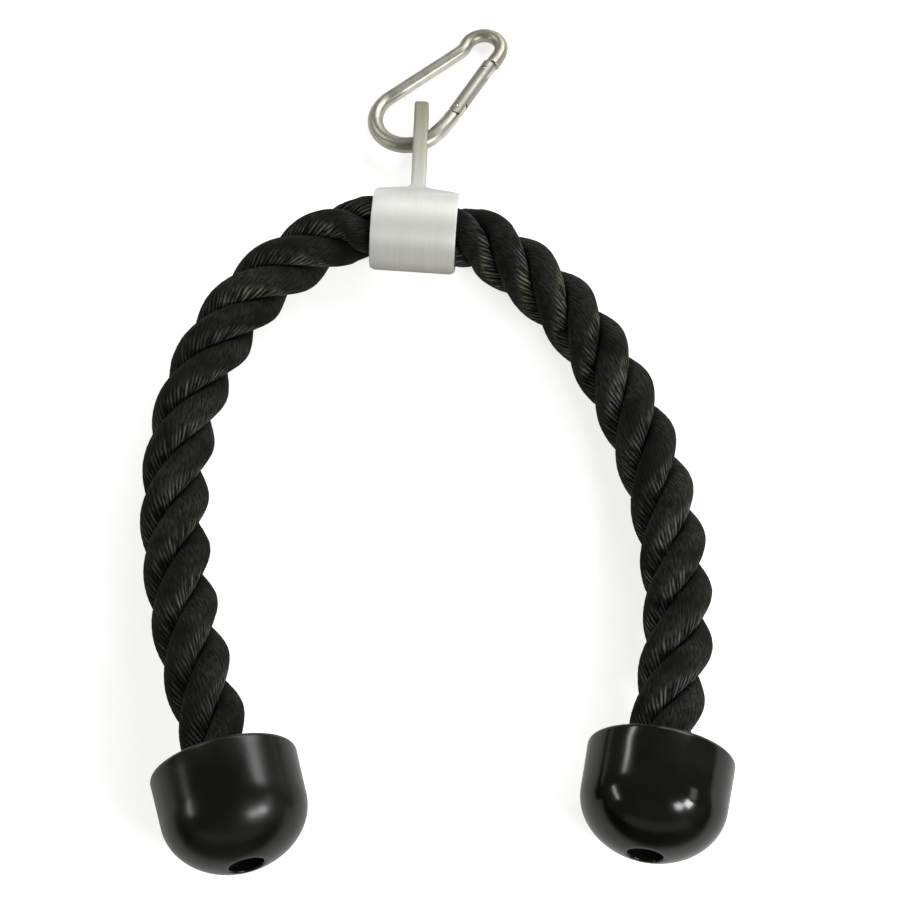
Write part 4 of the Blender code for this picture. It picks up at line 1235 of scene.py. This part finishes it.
def wire_rings(path, end_way):
    """Rings of a bent wire along a path whose ends point one way, with the first end eased."""
    sides = 48
    ease = 0.00035
    rings = []
    for i, (x, y, radius) in enumerate(path):
        way = end_way
        if 0 < i < len(path) - 1:
            way = (path[i + 1][0] - path[i - 1][0], path[i + 1][1] - path[i - 1][1])
        size = math.hypot(*way)
        along = (way[0] / size, way[1] / size)
        steps = [(0.0, radius)]
        if i == 0:
            turns = (0.0, 0.5, 1.0, math.pi / 2)
            steps = [(ease * math.sin(t), radius - ease * math.cos(t)) for t in turns]
        for forward, wide in steps:
            ring = []
            for k in range(sides):
                t = 2 * math.pi * (k + 0.5) / sides
                out = wide * math.cos(t)
                cx = x + along[0] * forward - along[1] * out
                cy = y + along[1] * forward + along[0] * out
                ring.append((cx, cy, wide * math.sin(t)))
            rings.append(ring)
    return rings


def hinge_outline(s):
    """The hinge's tongue, in the gate's frame, with a cam for the plunger on its end."""
    root = -s.gate / 2 - s.gap - TONGUE_ROOT
    end = 0.0026
    cam = end + 0.0009
    cam_side = -0.0021
    bevel = end - 0.0008
    bevel_side = 0.0016
    return [
        (root, -TONGUE_HALF),
        (cam, -TONGUE_HALF),
        (cam, cam_side),
        (end, -TONGUE_HALF / 2),
        (end, bevel_side),
        (bevel, TONGUE_HALF),
        (root, TONGUE_HALF),
    ]


def latch_outline(s):
    """The nose's tongue, notched on its inner side for the gate's pin, in the gate's frame."""
    root = s.gate_length + s.gap - NOSE_LAP + TONGUE_ROOT
    inner = TONGUE_HALF - s.nose_proud
    near = s.pin_reach - s.pin / 2 - NOTCH_ROOM
    far = s.pin_reach + s.pin / 2 + NOTCH_ROOM
    floor = -s.pin / 2 - PIN_ROOM
    hook = 0.0012
    corner = 0.0006
    tip = near - hook
    return [
        (tip, corner - TONGUE_HALF),
        (tip + corner, -TONGUE_HALF),
        (root, -TONGUE_HALF),
        (root, inner),
        (far, inner),
        (far, floor),
        (near, floor),
        (near, hook),
        (tip, corner),
    ]


def cross_pin(name, distance, diameter, half, place, dome=0.0):
    """A round pin across the gate, at a distance from its hinge, with domed ends if asked."""
    radius = diameter / 2
    turns = (0.5, 1.0) if dome else ()
    ends = [(radius * math.sin(t), half - dome * (1 - math.cos(t))) for t in turns]
    profile = [(0, -half)]
    profile += [(r, -along) for r, along in ends]
    profile += [(radius, dome - half), (radius, half - dome)]
    profile += reversed(ends)
    profile += [(0, half)]
    stand = Matrix.Translation((distance, 0, 0)) @ Matrix.Rotation(math.radians(-90), 4, "Y")
    return add_object(name, *turned(profile, 40), place=place @ stand)


def hook_wire(s, stand):
    """The bent wire, with its tongues at the hinge and the nose."""
    along, _ = gate_ways(s)
    rings = wire_rings(hook_path(s), along)
    body = add_object("hook_wire", *loft(rings), place=hook_frame(s))
    tongues = []
    for name, outline in (("hinge_tongue", hinge_outline(s)), ("latch_tongue", latch_outline(s))):
        shape = extruded(rounded(outline, TONGUE_CORNER), s.slot / 2 - TONGUE_ROOM)
        tongues.append(add_object(name, *shape, place=stand))
    cut(body, tongues, "UNION")
    cut(body, [cross_pin("rivet_hole", 0, s.rivet + PIN_ROOM, s.slot, stand)])
    return body


def hook_gate(s, stand):
    """The round gate, slotted at both ends, drilled for its two pins and bored for its spring."""
    radius = s.gate / 2
    end = s.gate_length
    ease = 0.0003
    profile = [
        (0, -radius - PAST),
        (radius, -radius - PAST),
        (radius, end - ease),
        (radius - ease * 0.3, end - ease * 0.3),
        (radius - ease, end),
        (0, end),
    ]
    gate = add_object("hook_gate", *turned(profile, 48), place=stand)
    # The hinge's end is a half round about the rivet, and the rest of the keeper clears the gate
    outline = arc((0, 0), radius, 90, 270, 40)
    clear = radius + 0.0005
    outline += [(end + PAST, -clear), (end + PAST, clear)]
    keeper = add_object("keeper", *extruded(outline, s.gate), place=stand)
    cut(gate, [keeper], "INTERSECT")
    cutters = []
    for low, high in ((-s.gate, s.hinge_slot), (end - s.nose_slot, end + PAST)):
        box = [(low, -s.gate), (high, -s.gate), (high, s.gate), (low, s.gate)]
        cutters.append(add_object("slot", *extruded(box, s.slot / 2), place=stand))
    for distance, diameter in ((0, s.rivet), (s.pin_reach, s.pin)):
        cutters.append(cross_pin("hole", distance, diameter + PIN_ROOM, s.gate, stand))
    start = s.hinge_slot - PAST
    bore = [(0, start), (BORE_RADIUS, start), (BORE_RADIUS, BORE_END), (0, BORE_END)]
    cutters.append(add_object("bore", *turned(bore, 40), place=stand))
    cut(gate, cutters)
    return gate


class ROPE_OT_hook(bpy.types.Operator):
    """Bend the snap hook's wire and fit its gate, rivet and latch pin"""

    bl_idname = "attachment.hook"
    bl_label = "Snap Hook"

    def execute(self, context):
        s = context.scene.snap_hook
        stand = gate_frame(s)
        look = bright_nickel(s, "bright_nickel_plated_steel", (0.30, 0.42), bent=True)
        settle(hook_wire(s, stand), look, "snap_hook", "carabiner_body")
        look = bright_nickel(s, "tumbled_nickel_plated_steel", (0.44, 0.56), s.gate_plating)
        settle(hook_gate(s, stand), look, "gate", "carabiner_gate")
        look = bright_nickel(s, "riveted_pin_steel", (0.25, 0.4))
        # The rivet's heads stand out of the gate, and the latch pin's ends are level with it
        half = s.gate / 2
        rivet = cross_pin("hinge_rivet", 0, s.rivet, half + RIVET_PROUD, stand, RIVET_DOME)
        settle(rivet, look, "snap_hook", "gate_rivet")
        pin = cross_pin("gate_pin", s.pin_reach, s.pin, half, stand, PIN_DOME)
        settle(pin, look, "gate", "latch_pin")
        return {"FINISHED"}


class ROPE_OT_small_parts(bpy.types.Operator):
    """Finish the screws, washers, plunger and spring that stay as they are"""

    bl_idname = "attachment.small_parts"
    bl_label = "Small Parts"

    def execute(self, context):
        dark = black_oxide()
        bright = bright_nickel(context.scene.snap_hook, "turned_pin_steel", (0.22, 0.36))
        looks = {("cap_screw", "cap_washer"): dark, ("gate_plunger", "gate_spring"): bright}
        for names, look in looks.items():
            for name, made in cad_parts.items():
                if name.startswith(names):
                    for slot in made.material_slots:
                        slot.material = look
        return {"FINISHED"}


# Stage


class ROPE_OT_camera(bpy.types.Operator):
    """Set the camera where the photograph was taken"""

    bl_idname = "attachment.camera"
    bl_label = "Camera"

    def execute(self, context):
        lens = bpy.data.cameras.new("camera")
        lens.sensor_width = SENSOR_WIDTH
        lens.lens = CAMERA_LENS
        lens.clip_start = 0.01
        made = bpy.data.objects.new("camera", lens)
        context.scene.collection.objects.link(made)
        made.location = Vector(CAMERA_PLACE) + SHIFT
        made.rotation_euler = (math.radians(CAMERA_TILT), 0, 0)
        context.scene.camera = made
        return {"FINISHED"}


def lamp(name, power, width, depth, place, target):
    """A soft rectangular lamp at a place, facing a target."""
    data = bpy.data.lights.new(name, "AREA")
    data.shape = "RECTANGLE"
    data.size = width
    data.size_y = depth
    data.energy = power
    made = bpy.data.objects.new(name, data)
    bpy.context.scene.collection.objects.link(made)
    made.location = place
    way = Vector(target) - Vector(place)
    made.rotation_euler = way.to_track_quat("-Z", "Y").to_euler()


def white_sweep(s):
    """White paper sweep: matt, with a glow that the camera sees and the pieces mirror, and a painted
    reflection in that glow, brighter behind the object and black far in front.
    """
    made, add, shader = new_material("white_paper_sweep")
    feed(shader, {"Base Color": linear("#d8d8d8"), "Roughness": 0.9, "Specular IOR Level": 0.1})
    ray = add("ShaderNodeLightPath").node.outputs
    along = add("ShaderNodeSeparateXYZ", (add(PLACE, out="Object"),), "Y")
    # Painted reflection: the glow that the pieces mirror is brighter behind the object
    behind = add(RANGE, (along, -0.05, 0.15, 0.25, 0.7))
    seen = add(MATHS, (ray["Is Glossy Ray"], behind), operation="MULTIPLY")
    seen = add(MATHS, (ray["Is Camera Ray"], seen), operation="MAXIMUM")
    seen = add(MATHS, (seen, s.glow), operation="MULTIPLY")
    glow = add("ShaderNodeEmission", {"Strength": seen})
    both = add("ShaderNodeAddShader", (shader.outputs[0], glow))
    # Painted reflection: far in front the floor is black to reflected rays, and the caps' domes
    # mirror it
    front = add(RANGE, (along, -0.24, -0.27))
    dark = add(MATHS, (front, ray["Is Glossy Ray"]), operation="MULTIPLY")
    both = add("ShaderNodeMixShader", (dark, both))
    feed(made.node_tree.nodes["Material Output"], {"Surface": both})
    return made


class ROPE_OT_stage(bpy.types.Operator):
    """Lay the white floor and hang the soft lamps"""

    bl_idname = "attachment.stage"
    bl_label = "Stage"

    def execute(self, context):
        s = context.scene.plain_stage
        half = s.floor / 2
        corners = [(-half, -half, 0), (half, -half, 0), (half, half, 0), (-half, half, 0)]
        floor = new_object("floor", corners, [(0, 1, 2, 3)])
        floor.data.materials.append(white_sweep(s))

        world = bpy.data.worlds.new("studio")
        context.scene.world = world
        world.use_nodes = True
        room = world.node_tree.nodes["Background"]
        feed(room, {"Color": linear("#6a6a5f"), "Strength": 1.0})
        lamp("back_softbox", s.lamp, 1.3, 0.9, (0.75, 1.35, 0.95), (0, 0, 0))
        for name, values in LAMPS.items():
            lamp(name, *values)
        context.scene.view_settings.view_transform = "Standard"
        return {"FINISHED"}


class ROPE_PT_panel(bpy.types.Panel):
    """Lists the pieces of the attachment"""

    bl_label = "Rope Attachment"
    bl_idname = "ROPE_PT_panel"
    bl_space_type = "VIEW_3D"
    bl_region_type = "UI"
    bl_category = "Rope Attachment"

    def draw(self, context):
        for name, _, operators in PIECES:
            box = self.layout.box()
            for operator in operators:
                box.operator(operator.bl_idname)
            group = getattr(context.scene, name)
            for key in group.bl_rna.properties.keys():
                if key not in ("rna_type", "name"):
                    box.prop(group, key)


# Where each group of settings is kept on the scene, and the operators that read it
PIECES = (
    ("laid_rope", RopeSettings, (ROPE_OT_arms,)),
    ("end_caps", CapSettings, (ROPE_OT_caps,)),
    ("steel_strap", StrapSettings, (ROPE_OT_strap,)),
    ("snap_hook", HookSettings, (ROPE_OT_hook, ROPE_OT_small_parts)),
    ("plain_stage", StageSettings, (ROPE_OT_camera, ROPE_OT_stage)),
)


def register():
    """Registers the settings, the operators and the panel."""
    for name, group, operators in PIECES:
        for made in (group, *operators):
            bpy.utils.register_class(made)
        setattr(bpy.types.Scene, name, bpy.props.PointerProperty(type=group))
    bpy.utils.register_class(ROPE_PT_panel)


def unregister():
    """Takes away what register added."""
    bpy.utils.unregister_class(ROPE_PT_panel)
    for name, group, operators in reversed(PIECES):
        delattr(bpy.types.Scene, name)
        for made in (*reversed(operators), group):
            bpy.utils.unregister_class(made)


def main():
    """Builds every piece and the stage."""
    register()
    bpy.ops.attachment.camera()
    bpy.ops.attachment.rope()
    bpy.ops.attachment.caps()
    bpy.ops.attachment.strap()
    bpy.ops.attachment.hook()
    bpy.ops.attachment.small_parts()
    bpy.ops.attachment.stage()


if __name__ == "__main__":
    main()
